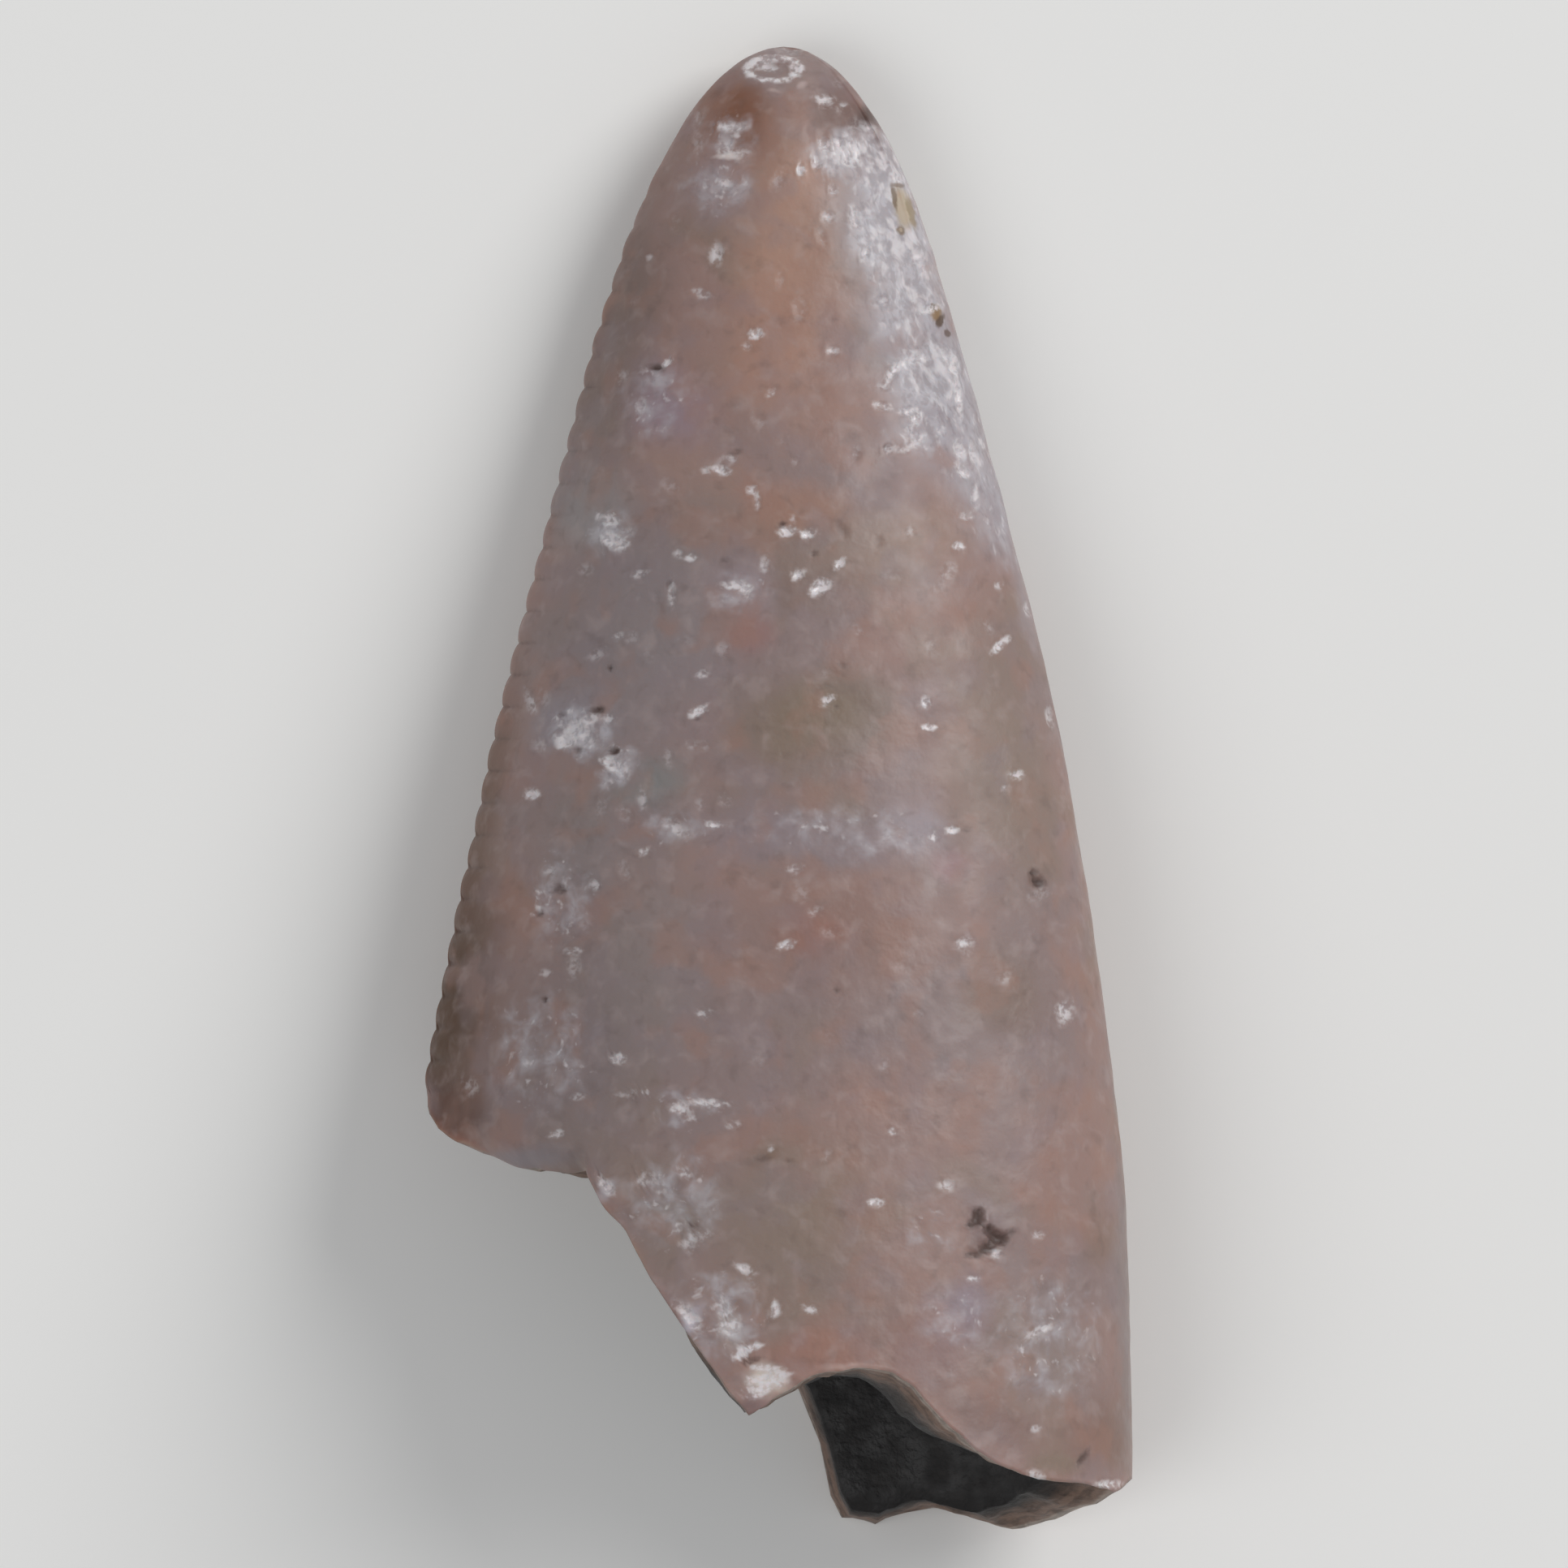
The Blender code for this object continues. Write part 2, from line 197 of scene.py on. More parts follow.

# Chips of the labial face, whose scars are pale and carry painted glints: (x, s, half length, half width,
# angle from x, strength).
CHIPS = (
    (-0.15, 0.24, 0.14, 0.05, 10, 0.7),
    (0.20, 0.28, 0.07, 0.09, 0, 0.6),
    (0.56, 0.68, 0.11, 0.06, 10, 0.8),
    (0.78, 0.76, 0.09, 0.05, -30, 0.5),
    (-0.58, 1.00, 0.15, 0.05, 0, 0.8),
    (1.12, 1.05, 0.12, 0.07, 20, 0.5),
    (-0.66, 1.22, 0.10, 0.05, -20, 0.5),
    (0.56, 1.20, 0.11, 0.05, -25, 0.8),
    (0.72, 1.24, 0.12, 0.05, -50, 1.0),
    (0.85, 1.27, 0.10, 0.05, -55, 0.9),
    (0.98, 1.27, 0.10, 0.05, -70, 0.9),
    (-0.60, 1.38, 0.17, 0.045, 0, 1.0),
    (0.62, 1.38, 0.12, 0.06, 0, 0.6),
    (0.88, 1.45, 0.15, 0.05, 10, 0.7),
    (0.46, 1.46, 0.06, 0.05, 0, 0.9),
    (0.26, 1.55, 0.05, 0.07, 0, 1.0),
    (1.47, 1.65, 0.08, 0.04, 0, 0.8),
    (-0.66, 1.70, 0.07, 0.05, 0, 0.6),
    (0.66, 1.78, 0.05, 0.07, 0, 0.6),
    (0.93, 2.13, 0.07, 0.16, -15, 0.65),
    (0.60, 2.12, 0.09, 0.07, 0, 0.5),
    (1.07, 2.56, 0.10, 0.05, -70, 0.7),
    (-0.77, 2.58, 0.09, 0.13, 0, 0.6),
    (-1.60, 2.62, 0.05, 0.04, 0, 0.5),
    (1.70, 2.60, 0.10, 0.09, 0, 0.6),
    (1.76, 2.78, 0.05, 0.09, -15, 0.6),
    (-0.97, 3.06, 0.14, 0.05, 20, 0.5),
    (1.28, 3.15, 0.06, 0.07, 0, 0.55),
    (1.83, 3.27, 0.14, 0.04, -20, 0.75),
    (-0.27, 3.57, 0.08, 0.06, 0, 0.95),
    (-0.40, 3.72, 0.06, 0.05, 0, 0.5),
    (0.66, 3.78, 0.09, 0.05, 0, 0.6),
    (2.05, 3.83, 0.10, 0.05, 60, 0.7),
    (1.65, 3.88, 0.18, 0.06, -3, 0.65),
    (-1.38, 3.92, 0.08, 0.04, -40, 0.9),
    (2.13, 3.96, 0.05, 0.09, 0, 0.8),
    (1.42, 4.02, 0.17, 0.05, -50, 0.85),
    (1.30, 4.20, 0.11, 0.06, -20, 0.5),
    (-0.10, 4.30, 0.08, 0.04, -30, 0.6),
    (2.20, 4.37, 0.25, 0.045, 82, 0.8),
    (-1.68, 4.45, 0.05, 0.13, 0, 0.5),
    (1.28, 4.46, 0.11, 0.045, 10, 0.75),
    (1.60, 4.53, 0.13, 0.045, 0, 0.8),
    (1.68, 4.61, 0.06, 0.06, 0, 1.0),
    (1.63, 4.76, 0.045, 0.11, 0, 0.5),
    (1.98, 4.76, 0.06, 0.05, 0, 0.7),
    (1.72, 4.88, 0.11, 0.05, -40, 0.6),
    (1.35, 4.98, 0.07, 0.05, -40, 0.6),
    (1.55, 4.98, 0.15, 0.05, -10, 0.5),
    (2.22, 4.98, 0.11, 0.05, 70, 0.9),
    (2.38, 5.02, 0.16, 0.045, 82, 0.6),
    (-0.60, 5.12, 0.10, 0.06, 0, 0.5),
    (-0.90, 5.25, 0.06, 0.05, 0, 0.6),
    (-0.72, 5.25, 0.12, 0.05, 15, 0.75),
    (2.26, 5.27, 0.09, 0.05, 50, 0.8),
    (-0.33, 5.50, 0.08, 0.05, 0, 0.7),
    (-0.27, 5.62, 0.05, 0.12, 0, 0.6),
    (2.40, 5.60, 0.16, 0.05, 82, 0.5),
    (2.30, 5.82, 0.09, 0.05, 0, 0.6),
    (0.17, 5.85, 0.06, 0.045, 60, 0.5),
    (-2.08, 5.86, 0.12, 0.06, 20, 0.8),
    (0.10, 6.00, 0.09, 0.06, -20, 0.95),
    (0.35, 6.04, 0.08, 0.05, -30, 0.85),
    (-2.02, 6.11, 0.14, 0.08, 25, 0.95),
    (2.20, 6.18, 0.07, 0.045, 0, 0.9),
    (-1.25, 6.28, 0.05, 0.05, 0, 0.55),
    (-1.08, 6.32, 0.07, 0.04, -10, 0.7),
    (0.74, 6.41, 0.09, 0.045, -50, 0.85),
    (-0.18, 6.42, 0.05, 0.10, 0, 0.55),
    (-1.72, 6.52, 0.09, 0.045, -10, 0.6),
    (0.22, 6.55, 0.09, 0.05, -35, 0.8),
    (2.70, 6.66, 0.05, 0.05, 0, 0.6),
    (-0.55, 6.67, 0.16, 0.045, 0, 0.8),
    (0.50, 6.69, 0.13, 0.06, -35, 1.0),
    (-0.40, 6.72, 0.08, 0.05, -30, 0.9),
    (-1.32, 6.80, 0.05, 0.16, 0, 0.6),
    (3.08, 6.95, 0.05, 0.10, -15, 0.5),
    (-1.97, 7.30, 0.07, 0.045, -20, 0.65),
    (2.70, 7.42, 0.13, 0.045, -40, 0.95),
    (-0.93, 7.76, 0.08, 0.06, 0, 0.55),
    (0.60, 8.08, 0.09, 0.06, -40, 0.7),
    (1.80, 8.11, 0.06, 0.08, 0, 0.8),
    (-3.05, 8.12, 0.06, 0.14, -20, 0.5),
    (-0.97, 8.21, 0.11, 0.05, -30, 0.95),
    (3.33, 8.28, 0.05, 0.13, -12, 0.5),
    (-2.32, 8.30, 0.10, 0.05, -10, 0.75),
    (-2.10, 8.30, 0.07, 0.05, 0, 0.6),
    (1.85, 8.41, 0.10, 0.04, 0, 1.0),
    (-2.50, 8.42, 0.07, 0.12, 0, 0.6),
    (-2.38, 8.55, 0.12, 0.12, 0, 0.5),
    (-2.60, 8.57, 0.14, 0.09, -20, 0.9),
    (-2.07, 8.86, 0.15, 0.06, 25, 0.95),
    (-1.90, 8.97, 0.07, 0.09, 0, 0.5),
    (2.92, 9.00, 0.08, 0.05, 0, 0.9),
    (2.77, 9.17, 0.06, 0.045, 0, 0.5),
    (-3.01, 9.25, 0.08, 0.06, 0, 1.0),
    (-1.68, 9.30, 0.05, 0.12, 0, 0.5),
    (-0.79, 9.61, 0.10, 0.04, 0, 0.8),
    (-1.27, 9.65, 0.18, 0.09, 30, 0.5),
    (2.13, 9.68, 0.08, 0.05, -10, 0.95),
    (1.90, 9.77, 0.045, 0.06, 0, 0.7),
    (-1.67, 9.94, 0.08, 0.04, -30, 0.7),
    (0.20, 10.15, 0.12, 0.05, -15, 0.5),
    (-2.82, 10.17, 0.06, 0.06, 0, 0.6),
    (-2.26, 10.35, 0.08, 0.06, 0, 0.55),
    (-2.96, 10.60, 0.045, 0.09, 0, 0.65),
    (2.25, 11.06, 0.12, 0.045, -15, 0.65),
    (0.10, 11.08, 0.12, 0.045, -15, 0.8),
    (-2.51, 11.16, 0.09, 0.04, 0, 0.65),
    (-2.88, 11.43, 0.09, 0.045, 0, 0.5),
    (3.52, 11.91, 0.10, 0.14, 0, 0.6),
    (-0.93, 11.92, 0.10, 0.05, -10, 0.55),
    (-2.00, 12.48, 0.08, 0.05, 0, 0.95),
    (-1.65, 12.89, 0.05, 0.04, 0, 0.7),
    (-1.82, 12.91, 0.15, 0.04, -5, 0.5),
    (-2.47, 12.95, 0.08, 0.04, -10, 0.5),
    (-0.85, 13.03, 0.22, 0.045, 0, 0.85),
    (-1.20, 13.09, 0.14, 0.09, 0, 0.65),
    (-0.56, 13.30, 0.09, 0.05, -10, 0.55),
    (1.40, 13.36, 0.045, 0.045, 0, 0.9),
    (-2.72, 13.41, 0.08, 0.045, -20, 0.75),
    (-0.10, 13.58, 0.05, 0.04, 0, 0.6),
    (-1.15, 13.88, 0.07, 0.07, 0, 0.6),
    (-1.65, 13.96, 0.14, 0.075, -25, 0.5),
    (2.05, 14.03, 0.10, 0.07, 0, 0.55),
    (-2.13, 14.05, 0.14, 0.06, 45, 0.8),
    (-1.44, 14.08, 0.07, 0.08, 0, 0.5),
    (1.20, 14.24, 0.10, 0.045, 5, 0.9),
    (-0.92, 14.63, 0.14, 0.07, -15, 0.4),
    (3.18, 14.65, 0.07, 0.045, 0, 0.6),
    (-1.10, 14.70, 0.13, 0.075, -50, 0.5),
    (2.66, 14.88, 0.06, 0.05, 0, 0.7),
    (-0.42, 15.05, 0.11, 0.06, 20, 0.7),
    (2.37, 15.18, 0.08, 0.04, 0, 0.7),
    (-0.69, 15.53, 0.09, 0.07, 0, 0.7),
    (0.38, 15.55, 0.11, 0.05, 15, 0.75),
    (-0.05, 15.55, 0.05, 0.10, 0, 1.0),
    (-1.10, 15.65, 0.20, 0.08, 50, 0.7),
    (-0.60, 15.76, 0.12, 0.11, 0, 0.85),
    (3.20, 15.82, 0.18, 0.05, -25, 0.65),
    (-0.26, 16.00, 0.06, 0.045, -20, 0.95),
    (-0.42, 16.05, 0.16, 0.06, -30, 1.0),
    (-0.15, 16.27, 0.20, 0.045, 5, 0.8),
    (-0.13, 16.38, 0.26, 0.045, -8, 0.9),
    (-0.17, 16.50, 0.24, 0.045, -14, 0.9),
    (-0.28, 16.60, 0.14, 0.04, -20, 0.7),
    (3.17, 17.02, 0.07, 0.05, 0, 0.55),
    (3.15, 17.60, 0.11, 0.06, 20, 0.65),
    (4.05, 17.72, 0.15, 0.05, 0, 0.8),
)

# Pits and specks of the labial face, as CHIPS, whose dark colour is painted shade. The largest is made of
# seven that run together.
PITS = (
    (-1.52, 3.98, 0.10, 0.045, 10, 0.8),
    (1.32, 4.96, 0.05, 0.04, -30, 0.5),
    (-0.55, 5.03, 0.10, 0.04, -15, 0.5),
    (0.03, 5.93, 0.06, 0.04, -30, 0.8),
    (0.42, 6.27, 0.06, 0.045, 0, 0.6),
    (-0.65, 6.36, 0.07, 0.04, 0, 0.45),
    (-1.35, 6.65, 0.04, 0.05, 0, 0.6),
    (-2.08, 7.68, 0.045, 0.05, 0, 0.6),
    (0.78, 7.65, 0.06, 0.04, 0, 0.5),
    (0.70, 8.16, 0.05, 0.04, 0, 0.5),
    (-2.25, 8.20, 0.08, 0.04, 0, 0.9),
    (-2.68, 8.26, 0.05, 0.045, 0, 0.5),
    (-1.02, 8.30, 0.06, 0.04, -30, 0.5),
    (-2.47, 8.68, 0.07, 0.05, 0, 0.5),
    (-2.03, 8.70, 0.08, 0.05, 0, 0.8),
    (2.30, 9.68, 0.08, 0.04, 0, 0.45),
    (3.12, 10.21, 0.06, 0.06, 0, 0.8),
    (3.18, 10.32, 0.09, 0.06, 15, 1.0),
    (-2.72, 10.40, 0.11, 0.07, 0, 0.55),
    (-2.94, 10.70, 0.045, 0.045, 0, 0.6),
    (0.71, 11.63, 0.045, 0.045, 0, 0.6),
    (-2.88, 11.76, 0.045, 0.045, 0, 0.7),
    (0.13, 13.73, 0.05, 0.05, 0, 0.5),
    (-0.22, 13.70, 0.12, 0.05, 0, 0.45),
    (2.45, 14.42, 0.07, 0.12, 0, 1.0),
    (2.39, 14.51, 0.11, 0.06, -20, 0.9),
    (2.58, 14.60, 0.08, 0.10, 0, 0.8),
    (2.67, 14.70, 0.17, 0.09, -25, 1.0),
    (2.83, 14.62, 0.10, 0.05, -15, 0.6),
    (2.55, 14.81, 0.12, 0.08, -10, 1.0),
    (2.38, 14.89, 0.14, 0.045, 0, 0.7),
    (-1.06, 14.52, 0.07, 0.06, 0, 0.55),
    (-0.36, 16.18, 0.15, 0.045, -15, 0.7),
    (3.73, 17.40, 0.14, 0.04, -55, 0.7),
)
SPOT_RAGGEDNESS = 0.3
SPOT_RAGGED_CELL = 0.12
SPOT_REACH = 1.7
SPOT_FADE = 1.2
CHIP_DEEPEST = 0.05
PIT_DEEPEST = 0.12
SPOT_RIM_SHARE = 0.3
SPOT_RIM_AT = 1.15
SPOT_RIM_WIDTH = 0.28

# Spots strewn at random over a wall:
# (whether it is the labial one, how many, range of half widths, range of strengths).
STREWN_CHIPS = (
    (True, 110, (0.05, 0.10), (0.10, 0.38)),
    (False, 80, (0.06, 0.13), (0.10, 0.50)),
)
STREWN_PITS = (
    (True, 30, (0.04, 0.07), (0.08, 0.30)),
    (False, 40, (0.06, 0.12), (0.20, 0.75)),
)
STREWN_STRETCH = (1.0, 2.2)
STREWN_WITHIN_U = 0.88

# The worn spot at the apex, with a pale ring round it that is a painted highlight, and the rounded lip at
# the lower left of the break.
WORN_SPOT = (-0.07, 0.285, 0.315, 0.145)
WORN_SPOT_DEPTH = 0.03
WORN_SPOT_RIM_SHARE = 0.5
WORN_RING_HIGHLIGHT = 0.9
WORN_RING_HIGHLIGHT_WIDTH = 0.22
LIP_X = (-3.95, -2.35)
LIP_FADE = 0.2
LIP_REACH = 0.34
LIP_DROP = 0.30

# The mesh's own values that the materials read.
DEPTH = "depth_in_wall"
SCAR_GLINT_NAME = "scar_glint"
PIT_AND_GROOVE_DARK_NAME = "pit_and_groove_dark"

# Which of a Mix node's inputs and outputs are its colours.
MIX_BELOW = 6
MIX_ABOVE = 7
MIX_RESULT = 2

# Colours of the enamel, as they would show on a screen.
PINK = (152, 124, 116)
GREY = (141, 122, 119)
OLIVE = (138, 118, 106)
WARM = (157, 119, 104)
COOL = (139, 124, 128)
PALE = (178, 161, 157)
DEEP = (96, 78, 72)
# Frost, and in the band beside the mesial edge a painted sheen.
FROST_AND_SHEEN = (190, 186, 191)
FROST_SHADOW = (140, 128, 130)
# Pale of the chips' scars with their painted glints, also used for the frost's thickest dabs.
SCAR_GLINT_PALE = (224, 218, 219)
# Painted shade in the pits, also the darkening of the grooves between denticles.
PIT_SHADE_AND_GROOVE_DARK = (90, 70, 64)

# How the places that patches are drawn on are pushed about: (cell in mm, reach in mm).
LOOSE = (1.3, 0.35)
MIDDLING = (0.5, 0.15)
TORN = (0.3, 0.10)
CRISP = (0.12, 0.04)

# Mottling, one layer over another: (cell in mm, seed, noise where it starts and is full, strength, colour).
BROAD_MOTTLES = (
    (2.4, 3.0, 0.42, 0.60, 1.0, GREY),
    (1.6, 17.0, 0.50, 0.66, 0.6, OLIVE),
)
FINE_MOTTLES = (
    (0.7, 23.0, 0.50, 0.68, 0.40, WARM),
    (0.7, 37.0, 0.50, 0.68, 0.30, COOL),
    (0.27, 29.0, 0.50, 0.78, 0.28, PALE),
    (0.22, 31.0, 0.52, 0.80, 0.26, DEEP),
)

# Coloured patches of the labial face: (x, s, half width, half length, tilt, colour, strength).
PATCHES = (
    (-1.95, 3.3, 0.7, 2.6, -13, (122, 104, 97), 0.8),
    (0.4, 1.55, 0.6, 0.8, 0, (182, 152, 142), 0.7),
    (0.1, 2.6, 1.0, 2.9, 0, (172, 136, 119), 0.9),
    (-0.1, 3.7, 0.9, 1.3, 0, (166, 128, 112), 0.6),
    (-0.75, 1.7, 0.7, 0.7, 0, (152, 134, 136), 0.7),
    (-0.6, 0.8, 0.8, 0.6, -35, (128, 86, 66), 0.95),
    (0.75, 0.75, 0.6, 0.45, 25, (120, 94, 86), 0.9),
    (0.0, 0.3, 0.7, 0.35, 0, (150, 130, 124), 0.8),
    # The next four pale lilac patches, with the frost band, are partly frost and partly a painted sheen of
    # the light on the mesial slope.
    (1.40, 2.3, 0.95, 1.5, 15, (180, 173, 177), 1.0),
    (1.60, 3.4, 0.75, 0.9, 15, (174, 167, 172), 0.9),
    (1.9, 4.5, 0.9, 1.4, 15, (164, 156, 162), 0.85),
    (2.5, 5.6, 0.5, 1.2, 15, (168, 160, 165), 0.7),
    (-1.4, 4.45, 0.9, 0.8, 0, (148, 132, 146), 0.6),
    (-1.1, 5.25, 1.3, 0.7, 0, (158, 129, 118), 0.7),
    (0.3, 5.65, 0.9, 0.5, 0, (160, 122, 106), 0.7),
    (1.5, 6.2, 1.2, 0.7, 0, (154, 130, 116), 0.7),
    (-1.8, 7.4, 2.0, 2.9, -12, (139, 128, 129), 0.8),
    (-2.3, 5.75, 0.9, 0.8, 0, (148, 144, 144), 0.6),
    (-0.5, 6.7, 0.7, 0.5, 0, (154, 142, 148), 0.6),
    (-1.5, 11.2, 1.1, 1.9, -5, (138, 126, 124), 0.7),
    (0.0, 6.75, 0.30, 0.40, 0, (122, 100, 88), 0.5),
    (-2.5, 8.35, 0.8, 0.6, 0, (150, 146, 153), 0.6),
    (-1.55, 9.15, 0.8, 0.6, 0, (130, 132, 130), 0.7),
    (-2.4, 9.75, 1.5, 0.9, 0, (132, 127, 129), 0.6),
    (-0.4, 7.25, 0.5, 0.5, 0, (154, 114, 108), 0.6),
    (0.4, 8.3, 1.5, 0.9, 0, (130, 112, 94), 0.8),
    (2.7, 9.0, 1.0, 2.2, 10, (143, 124, 113), 0.75),
    (0.2, 9.7, 2.8, 0.6, -3, (141, 126, 129), 0.8),
    (1.75, 9.6, 0.6, 0.6, 0, (160, 150, 156), 0.7),
    (2.2, 10.1, 0.4, 0.3, 0, (160, 124, 128), 0.5),
    (0.6, 10.9, 1.8, 0.9, 0, (142, 113, 104), 0.8),
    (0.3, 10.9, 0.6, 0.4, 0, (158, 112, 98), 0.5),
    (2.7, 11.6, 0.9, 0.8, 0, (130, 108, 96), 0.75),
    (-2.6, 12.4, 1.7, 2.2, -10, (130, 118, 118), 0.7),
    # These three dark patches along the distal edge are partly its own brown and partly painted shade,
    # where the edge turns away from the light.
    (-3.75, 9.4, 0.6, 2.4, -13, (112, 85, 70), 0.8),
    (-4.15, 12.0, 1.05, 2.8, -10, (86, 60, 40), 0.95),
    (-4.2, 13.1, 1.0, 0.6, 0, (94, 62, 50), 0.9),
    (0.2, 14.5, 1.6, 1.6, 0, (138, 119, 104), 0.7),
    (-0.2, 13.7, 0.4, 0.25, 0, (126, 102, 84), 0.7),
    (-1.3, 14.3, 0.8, 0.8, 0, (138, 127, 121), 0.6),
    (1.9, 15.9, 0.9, 0.8, 0, (141, 114, 112), 0.7),
    (0.5, 16.1, 1.2, 0.42, -3, (152, 112, 98), 0.8),
    (2.2, 15.6, 0.6, 0.6, 0, (146, 130, 138), 0.8),
    (3.4, 16.1, 0.9, 1.0, 0, (147, 131, 127), 0.7),
    (2.5, 16.85, 1.1, 0.45, -33, (132, 106, 99), 0.8),
    (3.9, 17.1, 0.8, 0.8, 0, (130, 103, 93), 0.8),
    (3.3, 17.5, 0.5, 0.25, 0, (134, 116, 102), 0.7),
    (3.9, 14.7, 0.3, 0.5, 0, (128, 106, 92), 0.5),
)
PATCH_REACH_Z = 3.0
PATCH_EDGE = 0.85

# Coloured patches of the lingual face, which the photograph doesn't show, as PATCHES.
LINGUAL_PATCHES = (
    (0.3, 2.2, 0.9, 1.5, 10, (160, 128, 112), 0.8),
    (-1.6, 4.6, 0.9, 1.8, -12, (128, 106, 98), 0.8),
    (1.2, 5.4, 1.1, 1.3, 20, (148, 136, 140), 0.7),
    (-0.6, 7.6, 1.6, 1.0, -10, (136, 112, 94), 0.8),
    (2.2, 8.8, 1.2, 1.6, 12, (154, 124, 112), 0.7),
    (-2.2, 10.2, 1.2, 1.5, -10, (124, 114, 118), 0.8),
    (0.4, 11.6, 1.7, 1.2, 25, (156, 118, 102), 0.7),
    (3.2, 13.2, 0.9, 2.0, 5, (138, 118, 100), 0.8),
    (0.9, 14.6, 1.5, 1.3, -20, (148, 134, 136), 0.7),
    (2.4, 16.6, 1.6, 0.9, -10, (156, 120, 106), 0.7),
    (-3.6, 12.0, 0.8, 1.9, -12, (104, 80, 66), 0.9),
)
LINGUAL_REACH_Z = 1.3

# Smaller patches that lie close to where they are drawn, as PATCHES.
MARKS = (
    (-0.06, 0.54, 0.13, 0.05, 0, (184, 164, 158), 0.7),
    (0.28, 0.50, 0.08, 0.08, 0, (188, 168, 164), 0.7),
    # A painted glint.
    (-0.66, 1.37, 0.24, 0.055, 0, (216, 204, 200), 0.9),
    (0.32, 1.12, 0.06, 0.28, 0, (172, 148, 140), 0.6),
    (1.10, 0.86, 0.32, 0.22, 45, (80, 57, 49), 0.9),
    # These three pale strips along the mesial edge are painted highlights.
    (2.30, 4.35, 0.30, 1.1, 14, (164, 156, 161), 0.85),
    (2.70, 5.60, 0.28, 1.1, 14, (160, 152, 157), 0.75),
    (3.06, 6.90, 0.20, 1.0, 13, (156, 144, 146), 0.7),
    # A strip of painted edge lighting along the lower mesial edge.
    (4.28, 15.6, 0.20, 3.0, 1, (136, 124, 122), 0.7),
    (-3.05, 13.70, 0.75, 0.24, 3, (138, 130, 134), 0.75),
    # These two dark patches are painted shade in the two largest pits.
    (2.58, 14.66, 0.40, 0.36, 20, (116, 94, 90), 0.7),
    (3.17, 10.28, 0.20, 0.18, 0, (116, 92, 84), 0.7),
    # These two pale patches along the slanted break are painted glints on the enamel's edge.
    (-2.12, 14.1, 0.26, 0.14, 45, (172, 164, 168), 0.9),
    (-1.10, 15.7, 0.34, 0.14, 52, (172, 166, 176), 0.9),
    (-0.60, 15.8, 0.30, 0.34, 0, (172, 160, 155), 0.8),
    (-0.36, 16.78, 0.26, 0.20, 0, (122, 102, 100), 0.8),
    (-0.15, 16.42, 0.38, 0.27, -10, (208, 195, 184), 1.0),
    # A painted highlight along the rim of the notch.
    (0.95, 16.28, 0.60, 0.08, -3, (176, 150, 142), 0.8),
)

# Frost on the labial face: (x, s, half width, half length, tilt, strength).
# The band beside the mesial edge is streaked, and is partly frost and partly a painted sheen of the light
# on that slope.
FROST_SHEEN_BAND = (
    (0.80, 1.35, 0.60, 0.45, 0, 0.95),
    (1.30, 1.60, 0.60, 0.9, 15, 1.0),
    (1.40, 2.40, 0.75, 1.1, 15, 1.0),
    (1.65, 3.15, 0.75, 0.9, 15, 0.8),
    (1.90, 4.10, 0.85, 0.8, 15, 0.85),
    (1.80, 4.75, 0.65, 0.45, 0, 0.6),
    (2.35, 4.90, 0.50, 1.2, 15, 0.6),
    (2.70, 5.90, 0.45, 0.9, 15, 0.35),
)
FROST_SPOTS = (
    (-0.75, 1.75, 0.60, 0.50, 0, 0.5),
    (-0.60, 1.10, 0.45, 0.40, 0, 0.45),
    (-1.55, 4.40, 0.70, 0.60, 0, 0.35),
    (-2.08, 6.00, 0.44, 0.42, 20, 0.6),
    (-0.50, 6.75, 0.60, 0.35, 0, 0.45),
    (-2.45, 8.46, 0.64, 0.44, -25, 0.75),
    (-2.02, 8.90, 0.42, 0.32, 35, 0.65),
    (-1.30, 9.65, 0.60, 0.30, 0, 0.4),
    (0.9, 9.7, 1.8, 0.50, -3, 0.28),
    (-2.7, 10.5, 0.60, 0.80, 0, 0.4),
    (-2.9, 12.4, 1.0, 1.1, 0, 0.3),
    (-1.1, 13.1, 0.70, 0.35, 0, 0.4),
    (-1.3, 14.2, 0.9, 0.9, 40, 0.35),
    (-0.7, 15.6, 0.7, 0.8, 40, 0.45),
    (3.3, 15.9, 1.2, 1.2, 0, 0.25),
    (2.2, 15.7, 0.7, 0.6, 0, 0.25),
    (1.9, 14.6, 0.6, 0.5, 0, 0.2),
)
LINGUAL_FROST = (
    (0.5, 1.2, 1.0, 0.8, 0, 0.4),
    (1.2, 3.8, 0.8, 2.2, 15, 0.5),
    (-1.6, 5.9, 0.7, 1.4, -20, 0.3),
    (2.1, 7.4, 0.7, 2.1, 12, 0.35),
    (-2.5, 9.4, 0.8, 2.0, -12, 0.3),
    (0.7, 9.8, 2.3, 0.6, -12, 0.3),
    (3.0, 12.2, 0.7, 2.3, 8, 0.3),
    (-0.9, 13.0, 2.0, 0.8, 30, 0.35),
    (1.8, 15.8, 1.9, 0.8, -15, 0.35),
)
FROST_EDGE = 0.8
FROST_FADE = (0.0, 0.22)
STREAK_TILT = 15
STREAK_STRETCH = 1.7

# Layers of frost:
# (cell in mm, seed, share of the frost added, noise where it starts and is full, strength, colour).
FROST_LAYERS = (
    (0.24, 41.0, 0.55, (0.50, 1.12), 0.85, FROST_AND_SHEEN),
    (0.075, 43.0, 0.30, (0.62, 0.84), 0.45, FROST_SHADOW),
    (0.13, 47.0, 0.25, (0.66, 0.90), 0.65, SCAR_GLINT_PALE),
)

